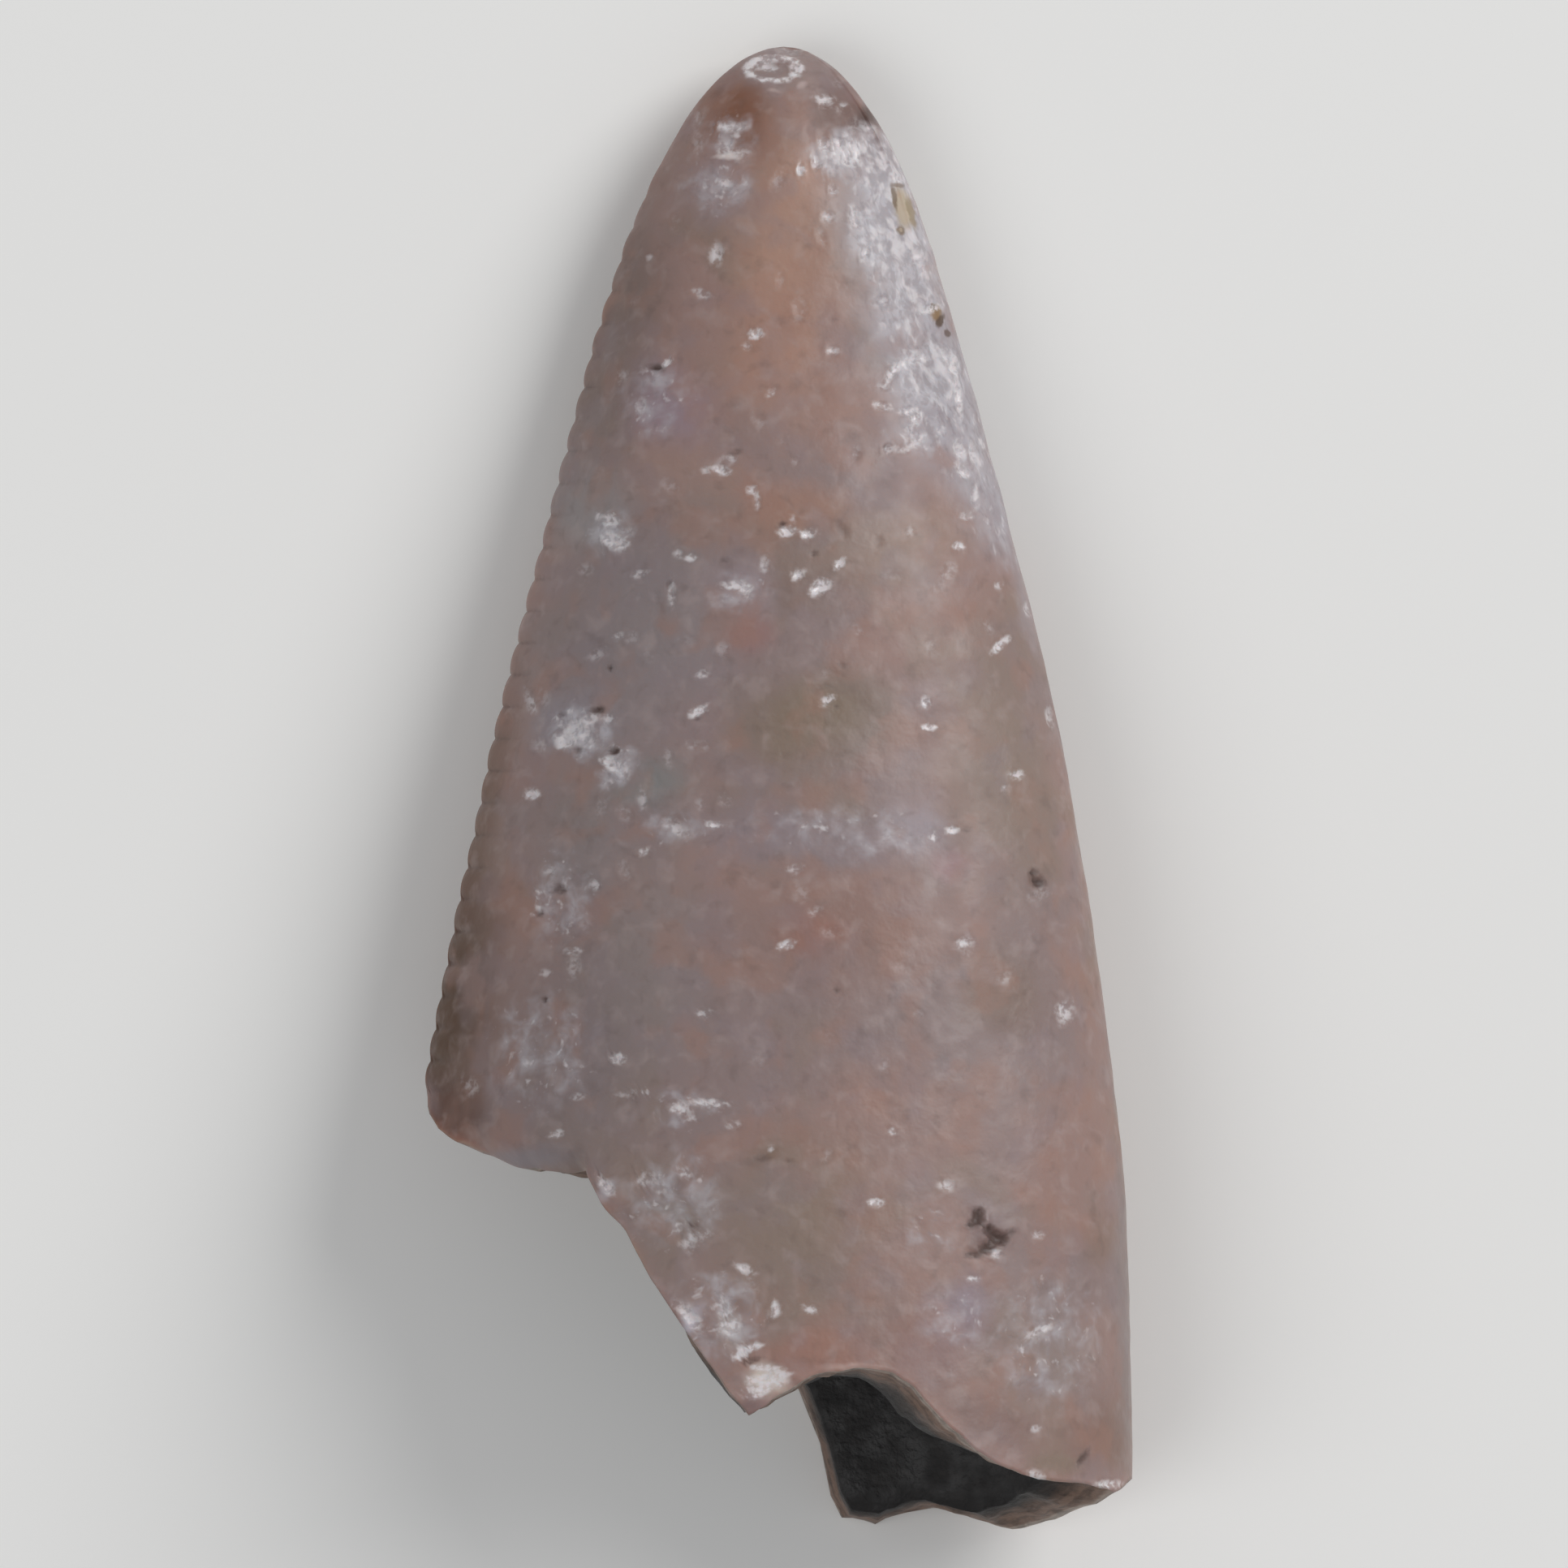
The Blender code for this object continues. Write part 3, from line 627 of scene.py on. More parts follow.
# The pale scars with painted glints, and the painted shade of the spots with the darkened grooves, whose
# strength a fine grain (cell in mm, seed) varies.
SPOT_GRAIN = (0.08, 67.0)
SPOT_GRAIN_SPAN = (0.35, 0.62)
SCAR_GLINT_TORN = (0.5, 1.15)
DARK_TORN = (0.8, 1.1)
SPOT_SHOWS = (0.08, 0.95)

# Small crisp flecks at the mesial edge: (x, s, half width, half length, tilt, colour, strength).
FLECKS = (
    (1.52, 2.00, 0.14, 0.36, 12, (184, 168, 146), 0.95),
    (1.63, 2.06, 0.06, 0.26, 14, (148, 130, 102), 0.8),
    (1.42, 1.88, 0.045, 0.22, 8, (112, 90, 68), 0.8),
    (1.47, 1.72, 0.10, 0.04, 0, (116, 94, 74), 0.6),
    (1.50, 2.28, 0.07, 0.07, 0, (124, 102, 78), 0.8),
    (1.50, 2.27, 0.03, 0.03, 0, (176, 158, 138), 0.8),
    (1.93, 3.30, 0.09, 0.15, 10, (138, 110, 76), 0.95),
    (1.99, 3.40, 0.06, 0.12, -20, (86, 64, 46), 0.9),
    (1.89, 3.22, 0.05, 0.05, 0, (98, 76, 54), 0.7),
    (2.08, 3.54, 0.05, 0.07, 0, (90, 66, 54), 0.85),
)
FLECK_EDGE = 0.55

# Fine noise of the shaders: (cell in mm, seed), and some add their detail. It shows over NOISE_SPAN.
NOISE_SPAN = (0.35, 0.65)
ENAMEL_GLOSS = (0.5, 53.0)
ENAMEL_GRAIN = (0.16, 61.0)
ENAMEL_GRAIN_HEIGHT = 0.012
ENAMEL_ROUGHNESS = (0.42, 0.58)
GLINT_SMOOTHER = 0.25
ENAMEL_SHADER = {
    "IOR": 1.45,
    "Subsurface Weight": 0.25,
    "Subsurface Radius": (1.0, 0.5, 0.35),
    "Subsurface Scale": 0.5 * MM,
    "Coat Weight": 0.06,
    "Coat Roughness": 0.28,
}

# Colours of the broken face and the cavity, as they would show on a screen.
ENAMEL_EDGE = (174, 158, 146)
TAN = (124, 100, 86)
# Painted shade of the deep cavity, also the colour of the dentine's dark bands.
CAVITY_SHADE_AND_BANDS = (29, 26, 25)
CAVITY_PALE = (43, 39, 37)
CAVITY_DEEP = (14, 12, 12)

# How deep in the wall the enamel's edge ends and the cavity's painted shade starts, pushed about by noise.
DEPTH_NOISE = (0.5, 71.0)
DEPTH_NOISE_REACH = 0.35
DEPTH_NOISE_MIDDLE = 0.17
ENAMEL_EDGE_ENDS = (0.08, 0.17)
CAVITY_SHADE_STARTS = (0.35, 0.95)

DENTINE_BANDS = 26.0
BANDS_SHOW = (0.2, 1.0)
BANDS_STRENGTH = 0.3
DENTINE_GRAIN = (0.2, 83.0, 4.0)
DENTINE_GLOSS = (0.4, 91.0)
DENTINE_LUMPS = (0.09, 97.0, 4.0)
DENTINE_LUMPS_HEIGHT = 0.03
DENTINE_ROUGHNESS = (0.5, 0.75)

# Mottling of the dentine: (noise where it starts and is full, strength, colour).
DENTINE_MOTTLES = (
    (0.50, 0.72, 0.4, CAVITY_PALE),
    (0.50, 0.30, 0.5, CAVITY_DEEP),
)

# The stage. Lights are (name, place, width, watts), and lengths are in metres.
FLOOR_SIDE = 4.0
FLOOR_DROP = 0.00001
FLOOR_COLOUR = (246, 245, 242)
FLOOR_ROUGHNESS = 0.9
LIGHTS = (
    ("key", (0.26, 0.18, 0.24), 0.24, 0.84),
    ("fill", (-0.22, -0.10, 0.34), 0.30, 0.30),
)
SURROUND_COLOUR = (236, 238, 242)
SURROUND_STRENGTH = 0.42
SENSOR_WIDTH = 36.0
CAMERA_HEIGHT = 0.5
OUTLINE_HEIGHT = 0.002
FRAME_WIDTH = 0.01932
FRAME_MIDDLE = (0.000067, 0.00005)


def rng(seed):
    return np.random.default_rng(seed)


def smooth_curve(points, positions):
    """Values at positions on a smooth curve through (position, value) points."""
    knots, values = np.array(points, float).T
    slopes = np.gradient(values, knots)
    left = np.clip(np.searchsorted(knots, positions) - 1, 0, len(knots) - 2)
    width = knots[left + 1] - knots[left]
    t = (positions - knots[left]) / width
    start = values[left] * (1 + 2 * t) * (1 - t) ** 2 + slopes[left] * width * t * (1 - t) ** 2
    end = values[left + 1] * t * t * (3 - 2 * t) - slopes[left + 1] * width * t * t * (1 - t)
    return start + end


def edge_x(edge, s):
    return smooth_curve([(math.sqrt(at), x) for at, x in edge], np.sqrt(s))


def middle_and_half_width(s):
    distal, mesial = edge_x(DISTAL_EDGE, s), edge_x(MESIAL_EDGE, s)
    return (mesial + distal) / 2, (mesial - distal) / 2


def carina_z(s):
    """Height of the plane of the carinae above the floor."""
    above_rest = np.maximum(0.0, REST_TOP_S - s)
    lift = APEX_LIFT_SLOPE * above_rest + APEX_LIFT * (above_rest / REST_TOP_S) ** 2
    sunk = REST_FLAT_DEPTH * np.minimum(1.0, s / REST_TOP_S) ** REST_FLAT_FADE
    return LINGUAL_BULGE * np.sqrt(s) - sunk + lift


def rest_half_width(s):
    """The blade's half width for the rest strip: on a straight line between the strip's two levels."""
    _, (top, bottom) = middle_and_half_width(np.array([REST_TOP_S, REST_BOTTOM_S]))
    return top + (bottom - top) * (s - REST_TOP_S) / (REST_BOTTOM_S - REST_TOP_S)


def noise(points, cell, seed):
    """Smooth noise from -1 to 1 in space, from random values at the corners of cells."""
    table = rng(seed).uniform(-1, 1, (NOISE_TABLE,) * 3)
    scaled = points / cell
    corner = np.floor(scaled).astype(int)
    t = scaled - corner
    t = t * t * (3 - 2 * t)
    total = np.zeros(points.shape[:-1])
    for dx in (0, 1):
        for dy in (0, 1):
            for dz in (0, 1):
                ways = np.where((dx, dy, dz), t, 1 - t)
                at = (corner + (dx, dy, dz)) % NOISE_TABLE
                total += ways.prod(axis=-1) * table[at[..., 0], at[..., 1], at[..., 2]]
    return total


def lumps(points, layers, seed):
    return sum(height * noise(points, cell, seed + i) for i, (cell, height) in enumerate(layers))


def denticle_swell(s):
    """How far each level of the distal carina stands on a denticle, from 0 between two to 1 on one."""
    steps = (s - SERRATED_FROM) / DENTICLE_PITCH
    wave = np.abs(np.sin(math.pi * steps)) ** DENTICLE_FLATNESS
    full = np.clip((steps + 1) / FIRST_FULL_DENTICLE, 0, 1)
    inside = (steps > 0) & (steps < DENTICLES + 1)
    return np.where(inside, wave, 0.0), np.where(inside, full, 0.0)


def groove(u, s):
    """How much of a groove between two denticles each point is in, from 0 to 1."""
    swell, full = denticle_swell(s)
    return (1 - swell) * full * np.exp(-(((1 + u) / GROOVE_REACH_U) ** 2))


def outer_surface(u, labial, s):
    """Points of the crown's outside for arrays of u, wall and s."""
    middle, half_width = middle_and_half_width(s)
    mesial_share = (1 + u) / 2
    sharpness = DISTAL_SHARPNESS + (MESIAL_SHARPNESS - DISTAL_SHARPNESS) * mesial_share
    power = np.where(labial, 2.0, LINGUAL_FLATNESS)
    bulge = np.where(labial, LABIAL_BULGE, -LINGUAL_BULGE) * np.sqrt(s)
    side = np.where(labial, 1.0, -1.0)
    x = middle + u * half_width
    z = carina_z(s) + bulge * np.maximum(0.0, 1 - np.abs(u) ** power) ** sharpness
    swell, full = denticle_swell(s)
    x -= DENTICLE_HEIGHT * swell * full * np.maximum(0.0, 1 - (1 + u) / DENTICLE_REACH_U)
    z -= side * GROOVE_DEPTH * groove(u, s)
    ridge = MESIAL_RIDGE_HEIGHT * np.maximum(0.0, 1 - s / MESIAL_RIDGE_ENDS) * np.minimum(1.0, s)
    z += labial * ridge * np.exp(-(((u - MESIAL_RIDGE_U) / MESIAL_RIDGE_WIDTH_U) ** 2))
    resting = ~labial & (np.abs(u) < REST_HALF_WIDTH_U) & (s > REST_TOP_S)
    x = np.where(resting, middle + u * rest_half_width(s), x)
    z = np.where(resting, 0.0, z)
    return np.stack([x, -s, z], axis=-1)


def cavity_surface(u, labial, s):
    middle, _ = middle_and_half_width(s)
    u = np.sign(u) * np.minimum(1.0, np.abs(u)) ** CAVITY_SPREAD
    opened = np.sqrt(np.maximum(0.0, s - CAVITY_APEX_S) / (CAVITY_MOUTH_S - CAVITY_APEX_S))
    bulge = np.where(labial, CAVITY_LABIAL_BULGE, -CAVITY_LINGUAL_BULGE) * opened
    x = middle + u * CAVITY_HALF_WIDTH * opened
    z = carina_z(s) + bulge * np.sqrt(np.maximum(0.0, 1 - u * u))
    return np.stack([x, -s, z], axis=-1)


def columns():
    """u and wall of each column, round the section from the distal carina over the labial wall."""

    def spread(count):
        t = np.linspace(0, 1, count, endpoint=False)
        return (1 - COLUMN_CROWDING) * (2 * t - 1) - COLUMN_CROWDING * np.cos(math.pi * t)

    over, under = spread(LABIAL_COLUMNS), -spread(LINGUAL_COLUMNS)
    labial = np.arange(LABIAL_COLUMNS + LINGUAL_COLUMNS) < LABIAL_COLUMNS
    return np.concatenate([over, under]), labial


def rim(u, labial):
    """s of the rim and of its inner edge at each column."""
    found = np.zeros((2, len(u)))
    for wall, points in ((True, LABIAL_RIM), (False, LINGUAL_RIM)):
        x, s, lip = np.array(points).T
        middle, half_width = middle_and_half_width(s)
        knots = np.concatenate([[-1.0], (x - middle) / half_width, [1.0]])
        levels = np.concatenate([[DISTAL_RIM[0]], s, [MESIAL_RIM[0]]])
        lips = np.concatenate([[DISTAL_RIM[1]], lip, [MESIAL_RIM[1]]])
        here = labial == wall
        found[0, here] = np.interp(u[here], knots, levels)
        found[1, here] = np.interp(u[here], knots, levels + lips)
    middle, half_width = middle_and_half_width(found[0])
    along = np.stack([middle + u * half_width, np.where(labial, 0.0, WALL_SHIFT), 0 * u], axis=-1)
    found[0] += lumps(along, RIM_RAGGEDNESS, seed=31)
    found[1] += lumps(along + INNER_EDGE_SHIFT, RIM_RAGGEDNESS, seed=37)
    return found


def normals(grid):
    """Outward normals of a grid of points whose columns go round."""
    down = np.gradient(grid, axis=0)
    across = (np.roll(grid, -1, axis=1) - np.roll(grid, 1, axis=1)) / 2
    out = np.cross(across, down)
    length = np.linalg.norm(out, axis=-1, keepdims=True)
    return -out / np.maximum(length, 1e-9)


def bowl(away, rim_share):
    """Depth of a pit whose edge is at 1, from 1 at its middle, with a low rim round it."""
    rim_height = rim_share * np.exp(-(((away - SPOT_RIM_AT) / SPOT_RIM_WIDTH) ** 2))
    return np.maximum(0.0, 1 - away**2) - rim_height


def strewn_spots(points, u, labial, kinds, seed):
    """Spots at random places of the walls, each as a line of CHIPS with its wall added."""
    random = rng(seed)
    for wall, count, widths, strengths in kinds:
        columns_there = np.flatnonzero((labial == wall) & (np.abs(u) < STREWN_WITHIN_U))
        for _ in range(count):
            row, column = random.integers(points.shape[0]), random.choice(columns_there)
            x, s = points[row, column, 0], -points[row, column, 1]
            width = random.uniform(*widths)
            length = width * random.uniform(*STREWN_STRETCH)
            yield x, s, length, width, random.uniform(0, 180), random.uniform(*strengths), wall


def spots(points, u, labial, table, strewn, deepest, seed):
    """Depth of a table's spots, and of strewn ones, at each point, and how much of a spot each point is."""
    x, s = points[..., 0], -points[..., 1]
    ragged = 1 + SPOT_RAGGEDNESS * noise(points, SPOT_RAGGED_CELL, seed)
    depth, share = np.zeros(x.shape), np.zeros(x.shape)
    placed = [(*spot, True) for spot in table] + list(strewn_spots(points, u, labial, strewn, seed))
    for px, ps, length, width, angle, strength, wall in placed:
        reach = SPOT_REACH * max(length, width)
        near = np.ix_(np.abs(s - ps).min(axis=1) < reach, labial == wall)
        turn = math.radians(angle)
        dx, ds = x[near] - px, s[near] - ps
        along = (dx * math.cos(turn) + ds * math.sin(turn)) / length
        across = (ds * math.cos(turn) - dx * math.sin(turn)) / width
        away = np.hypot(along, across) * ragged[near]
        depth[near] += strength * min(width, length, deepest) * bowl(away, SPOT_RIM_SHARE)
        share[near] = np.maximum(share[near], strength * np.clip((SPOT_REACH - away) / SPOT_FADE, 0, 1))
    return depth, share


def enamel_relief(points, u, labial, rim_s):
    """Height of the enamel's relief at each point of the outside, and how much scar with painted glint, and
    how much painted pit shade and groove darkening, each point has.
    """
    x, s = points[..., 0], -points[..., 1]
    chips, scar_glint = spots(points, u[0], labial[0], CHIPS, STREWN_CHIPS, CHIP_DEEPEST, seed=3)
    pits, pit_and_groove_dark = spots(points, u[0], labial[0], PITS, STREWN_PITS, PIT_DEEPEST, seed=5)
    # The grooves between denticles are darkened along with the pits' painted shade.
    pit_and_groove_dark = np.maximum(pit_and_groove_dark, GROOVE_DARKENING * groove(u, s))
    relief = lumps(points, ENAMEL_LUMPS, seed=11) - chips - pits
    px, ps, across, along = WORN_SPOT
    away = np.hypot((x - px) / across, (s - ps) / along)
    relief -= WORN_SPOT_DEPTH * bowl(away, WORN_SPOT_RIM_SHARE) * labial
    # A painted highlight: a pale ring round the worn spot, put into the scars.
    ring_highlight = WORN_RING_HIGHLIGHT * np.exp(-(((away - 1) / WORN_RING_HIGHLIGHT_WIDTH) ** 2))
    scar_glint = np.maximum(scar_glint, ring_highlight * labial)
    to_rim = (rim_s - s) / LIP_REACH
    on_lip = np.clip(np.minimum(x - LIP_X[0], LIP_X[1] - x) / LIP_FADE, 0, 1) * labial
    relief -= LIP_DROP * on_lip * np.maximum(0.0, 1 - to_rim) ** 2
    return relief, scar_glint, pit_and_groove_dark


def outside_rows(u, labial, rim_s):
    """Points of the outside with its relief, row by row, and how much scar with painted glint, and how much
    painted pit shade and groove darkening, each has.
    """
    apex = SERRATED_FROM * (np.arange(1, APEX_ROWS) / APEX_ROWS) ** 2
    upper = np.linspace(SERRATED_FROM, STRETCH_FROM_S, UPPER_ROWS, endpoint=False)
    level = np.concatenate([apex, upper])[:, None] + 0 * u
    share = np.linspace(0, 1, LOWER_ROWS)[:, None]
    s = np.concatenate([level, STRETCH_FROM_S + (rim_s - STRETCH_FROM_S) * share])
    wide_u, wall = np.broadcast_to(u, s.shape), np.broadcast_to(labial, s.shape)
    smooth = outer_surface(wide_u, wall, s)
    relief, scar_glint, pit_and_groove_dark = enamel_relief(smooth, wide_u, wall, rim_s)
    return smooth + normals(smooth) * relief[..., None], scar_glint, pit_and_groove_dark


def break_rows(outer_edge, inner_edge):
    """Points of the broken face between the wall's two edges, and how deep in the wall each is."""
    depth = np.linspace(0, 1, BREAK_ROWS + 1)[1:-1, None, None]
    flat = outer_edge * (1 - depth) + inner_edge * depth
    ways = [lumps(flat + BREAK_SHIFT * i, BREAK_LUMPS, seed) for i, seed in enumerate(BREAK_SEEDS)]
    return flat + np.stack(ways, axis=-1) * np.sqrt(np.sin(math.pi * depth)), depth


def cavity_rows(u, labial, lip_s):
    share = (1 - np.arange(CAVITY_ROWS) / CAVITY_ROWS)[:, None] ** CAVITY_ROW_CROWDING
    s = CAVITY_APEX_S + (lip_s - CAVITY_APEX_S) * share
    smooth = cavity_surface(np.broadcast_to(u, s.shape), np.broadcast_to(labial, s.shape), s)
    return smooth - normals(smooth) * lumps(smooth, CAVITY_LUMPS, seed=61)[..., None]


def ring_faces(points, count):
    """Quads between rings of count points, each turned so that it splits on its shorter diagonal."""
    row, column = np.divmod(np.arange(len(points) - count), count)
    after = (column + 1) % count
    upper, lower = row * count, (row + 1) * count
    quads = np.stack([upper + column, lower + column, lower + after, upper + after], axis=-1)
    diagonals = np.linalg.norm(points[quads[:, :2]] - points[quads[:, 2:]], axis=-1)
    second_shorter = diagonals[:, 1] < diagonals[:, 0]
    quads[second_shorter] = np.roll(quads[second_shorter], -1, axis=1)
    return quads


def crown_mesh():
    """The whole skin: points in mm, faces, number of enamel quads, and values that the materials read."""
    u, labial = columns()
    rim_s, lip_s = rim(u, labial)
    outside, scar_glint, pit_and_groove_dark = outside_rows(u, labial, rim_s)
    cavity = cavity_rows(u, labial, lip_s)
    broken, depth = break_rows(outside[-1], cavity[0])
    grid = np.concatenate([outside, broken, cavity])
    deep = np.concatenate([np.zeros(len(outside)), depth[:, 0, 0], np.ones(len(cavity))])
    count = len(u)
    points = grid.reshape(-1, 3)
    sides = ring_faces(points, count)
    middle, _ = middle_and_half_width(np.array(CAVITY_APEX_S))
    apex = (APEX_X, 0.0, float(carina_z(np.array(0.0))))
    cavity_apex = (float(middle), -CAVITY_APEX_S, float(carina_z(np.array(CAVITY_APEX_S))))
    points = np.concatenate([points, [apex, cavity_apex]])
    first, last = len(points) - 2, len(points) - 1
    here = np.arange(count)
    after = (here + 1) % count
    bottom = (len(grid) - 1) * count
    closing = np.concatenate(
        [
            np.stack([first + 0 * here, here, after], axis=-1),
            np.stack([bottom + here, last + 0 * here, bottom + after], axis=-1),
        ]
    )
    values = {DEPTH: np.concatenate([np.repeat(deep, count), [0.0, 1.0]])}
    for name, spot in ((SCAR_GLINT_NAME, scar_glint), (PIT_AND_GROOVE_DARK_NAME, pit_and_groove_dark)):
        values[name] = np.zeros(len(points))
        values[name][: spot.size] = spot.reshape(-1)
    faces = sides.tolist() + closing.tolist()
    return points, faces, (len(outside) - 1) * count, values


def place(points):
    """World metres of points in tooth coordinates, with nothing under the floor."""
    placed = (points - (MIDDLE_X, -MIDDLE_S, 0.0)) * MM
    placed[:, 2] = np.maximum(placed[:, 2], 0.0)
    return placed


def crown():
    """The tooth as one mesh, enamel outside and dentine on the break and in the cavity."""
    points, faces, enamel_faces, values = crown_mesh()
    mesh = bpy.data.meshes.new("crown_skin")
    mesh.from_pydata(place(points), [], faces)
    for name, value in values.items():
        mesh.attributes.new(name, "FLOAT", "POINT").data.foreach_set("value", value)
    mesh.materials.append(enamel())
    mesh.materials.append(dentine())
    # The last faces are two rings that close the apex, which is enamel, and the cavity, which isn't.
    around = LABIAL_COLUMNS + LINGUAL_COLUMNS
    inside = np.arange(len(faces)) >= enamel_faces
    inside[-2 * around : -around] = False
    mesh.polygons.foreach_set("material_index", inside.astype(np.int32))
    mesh.shade_smooth()
    made = bpy.data.objects.new("crown_skin", mesh)
    bpy.context.scene.collection.objects.link(made)
    return made


def linear(red, green, blue):
    """A shader colour from the 0 to 255 values of a screen colour."""
    return (*(((value / 255 + 0.055) / 1.055) ** 2.4 for value in (red, green, blue)), 1.0)


def put(tree, socket, value):
    """Links a socket to an input, or sets the input to a value."""
    if isinstance(value, bpy.types.NodeSocket):
        tree.links.new(value, socket)
    else:
        socket.default_value = value


def node(tree, kind, inputs, **settings):
    """The first output of a new shader node with these inputs and settings."""
    made = tree.nodes.new("ShaderNode" + kind)
    for name, value in settings.items():
        setattr(made, name, value)
    for key, value in inputs.items():
        put(tree, made.inputs[key], value)
    return made.outputs[0]


def mix(tree, factor, below, above):
    """The colour between a socket's colour and a screen colour."""
    made = tree.nodes.new("ShaderNodeMix")
    made.data_type = "RGBA"
    put(tree, made.inputs["Factor"], factor)
    put(tree, made.inputs[MIX_BELOW], below)
    put(tree, made.inputs[MIX_ABOVE], linear(*above))
    return made.outputs[MIX_RESULT]


def maths(tree, operation, first, second):
    return node(tree, "Math", {0: first, 1: second}, operation=operation)


def step(tree, value, low, high, bottom=0.0, top=1.0):
    """A smooth change from bottom at low to top at high."""
    inputs = {"Value": value, "From Min": low, "From Max": high, "To Min": bottom, "To Max": top}
    return node(tree, "MapRange", inputs, interpolation_type="SMOOTHSTEP")


def lumpy(tree, places, cell, seed, detail=2.0):
    """Noise round 0.5 with lumps about as wide as the cell, in millimetres."""
    moved = node(tree, "Mapping", {"Vector": places, "Location": (seed, 2.0 * seed, -seed)})
    return node(tree, "TexNoise", {"Vector": moved, "Scale": 1 / cell, "Detail": detail})


def read(tree, name):
    """One of the mesh's own values."""
    attribute = tree.nodes.new("ShaderNodeAttribute")
    attribute.attribute_name = name
    return attribute.outputs["Fac"]


def tooth_places(tree):
    """Tooth coordinates in millimetres at each point of the surface, as (x, -s, z)."""
    here = tree.nodes.new("ShaderNodeTexCoord").outputs["Object"]
    scale = (1 / MM,) * 3
    return node(tree, "Mapping", {"Vector": here, "Scale": scale, "Location": (MIDDLE_X, -MIDDLE_S, 0.0)})


def warped(tree, places, cell, reach):
    """Places pushed about by noise, so that a patch drawn on them has a ragged outline."""
    colours = tree.nodes.new("ShaderNodeTexNoise")
    put(tree, colours.inputs["Vector"], places)
    put(tree, colours.inputs["Scale"], 1 / cell)
    push = node(tree, "VectorMath", {0: colours.outputs["Color"], 1: (0.5,) * 3}, operation="SUBTRACT")
    return node(tree, "VectorMath", {0: push, 1: (2 * reach,) * 3, 2: places}, operation="MULTIPLY_ADD")


def patch(tree, places, x, s, across, along, tilt, strength, edge=PATCH_EDGE, labial=True):
    """A soft oval patch on one wall: its strength inside, and 0 away from it."""
    middle, half_width = middle_and_half_width(np.array(s))
    u = np.clip((x - middle) / half_width, -1, 1)
    z = outer_surface(u, np.array(labial), np.array(s))[2]
    inputs = {
        "Vector": places,
        "Location": (x, -s, float(z)),
        "Rotation": (0.0, 0.0, math.radians(tilt)),
        "Scale": (across, along, PATCH_REACH_Z if labial else LINGUAL_REACH_Z),
    }
    oval = node(tree, "Mapping", inputs, vector_type="TEXTURE")
    ball = tree.nodes.new("ShaderNodeTexGradient")
    ball.gradient_type = "SPHERICAL"
    put(tree, ball.inputs["Vector"], oval)
    return step(tree, ball.outputs["Fac"], 0.0, edge, top=strength)


def mottled(tree, shade, places, layers):
    """A colour with layers of mottling over it."""
    for cell, seed, start, full, strength, colour in layers:
        layer = step(tree, lumpy(tree, places, cell, seed), start, full, top=strength)
        shade = mix(tree, layer, shade, colour)
    return shade


def streaked(tree, places):
    """Places squeezed along the mesial edge, so that noise drawn on them makes streaks that follow it."""
    inputs = {
        "Vector": places,
        "Rotation": (0.0, 0.0, math.radians(STREAK_TILT)),
        "Scale": (1.0, STREAK_STRETCH, 1.0),
    }
    return node(tree, "Mapping", inputs, vector_type="TEXTURE")


def frosted(tree, shade, places, grain, table, labial=True):
    """A colour under a table's frost, whose grain is drawn on places of its own."""
    thick = 0.0
    for spot in table:
        thick = maths(tree, "MAXIMUM", patch(tree, places, *spot, FROST_EDGE, labial), thick)
    inside = step(tree, thick, *FROST_FADE)
    for cell, seed, share, shows, strength, colour in FROST_LAYERS:
        raised = maths(tree, "ADD", lumpy(tree, grain, cell, seed), maths(tree, "MULTIPLY", thick, share))
        layer = maths(tree, "MULTIPLY", step(tree, raised, *shows, top=strength), inside)
        shade = mix(tree, layer, shade, colour)
    return shade


def bump(tree, height, distance):
    return node(tree, "Bump", {"Height": height, "Distance": distance * MM})


def finish_shader(material, inputs):
    shader = material.node_tree.nodes["Principled BSDF"]
    for name, value in inputs.items():
        put(material.node_tree, shader.inputs[name], value)


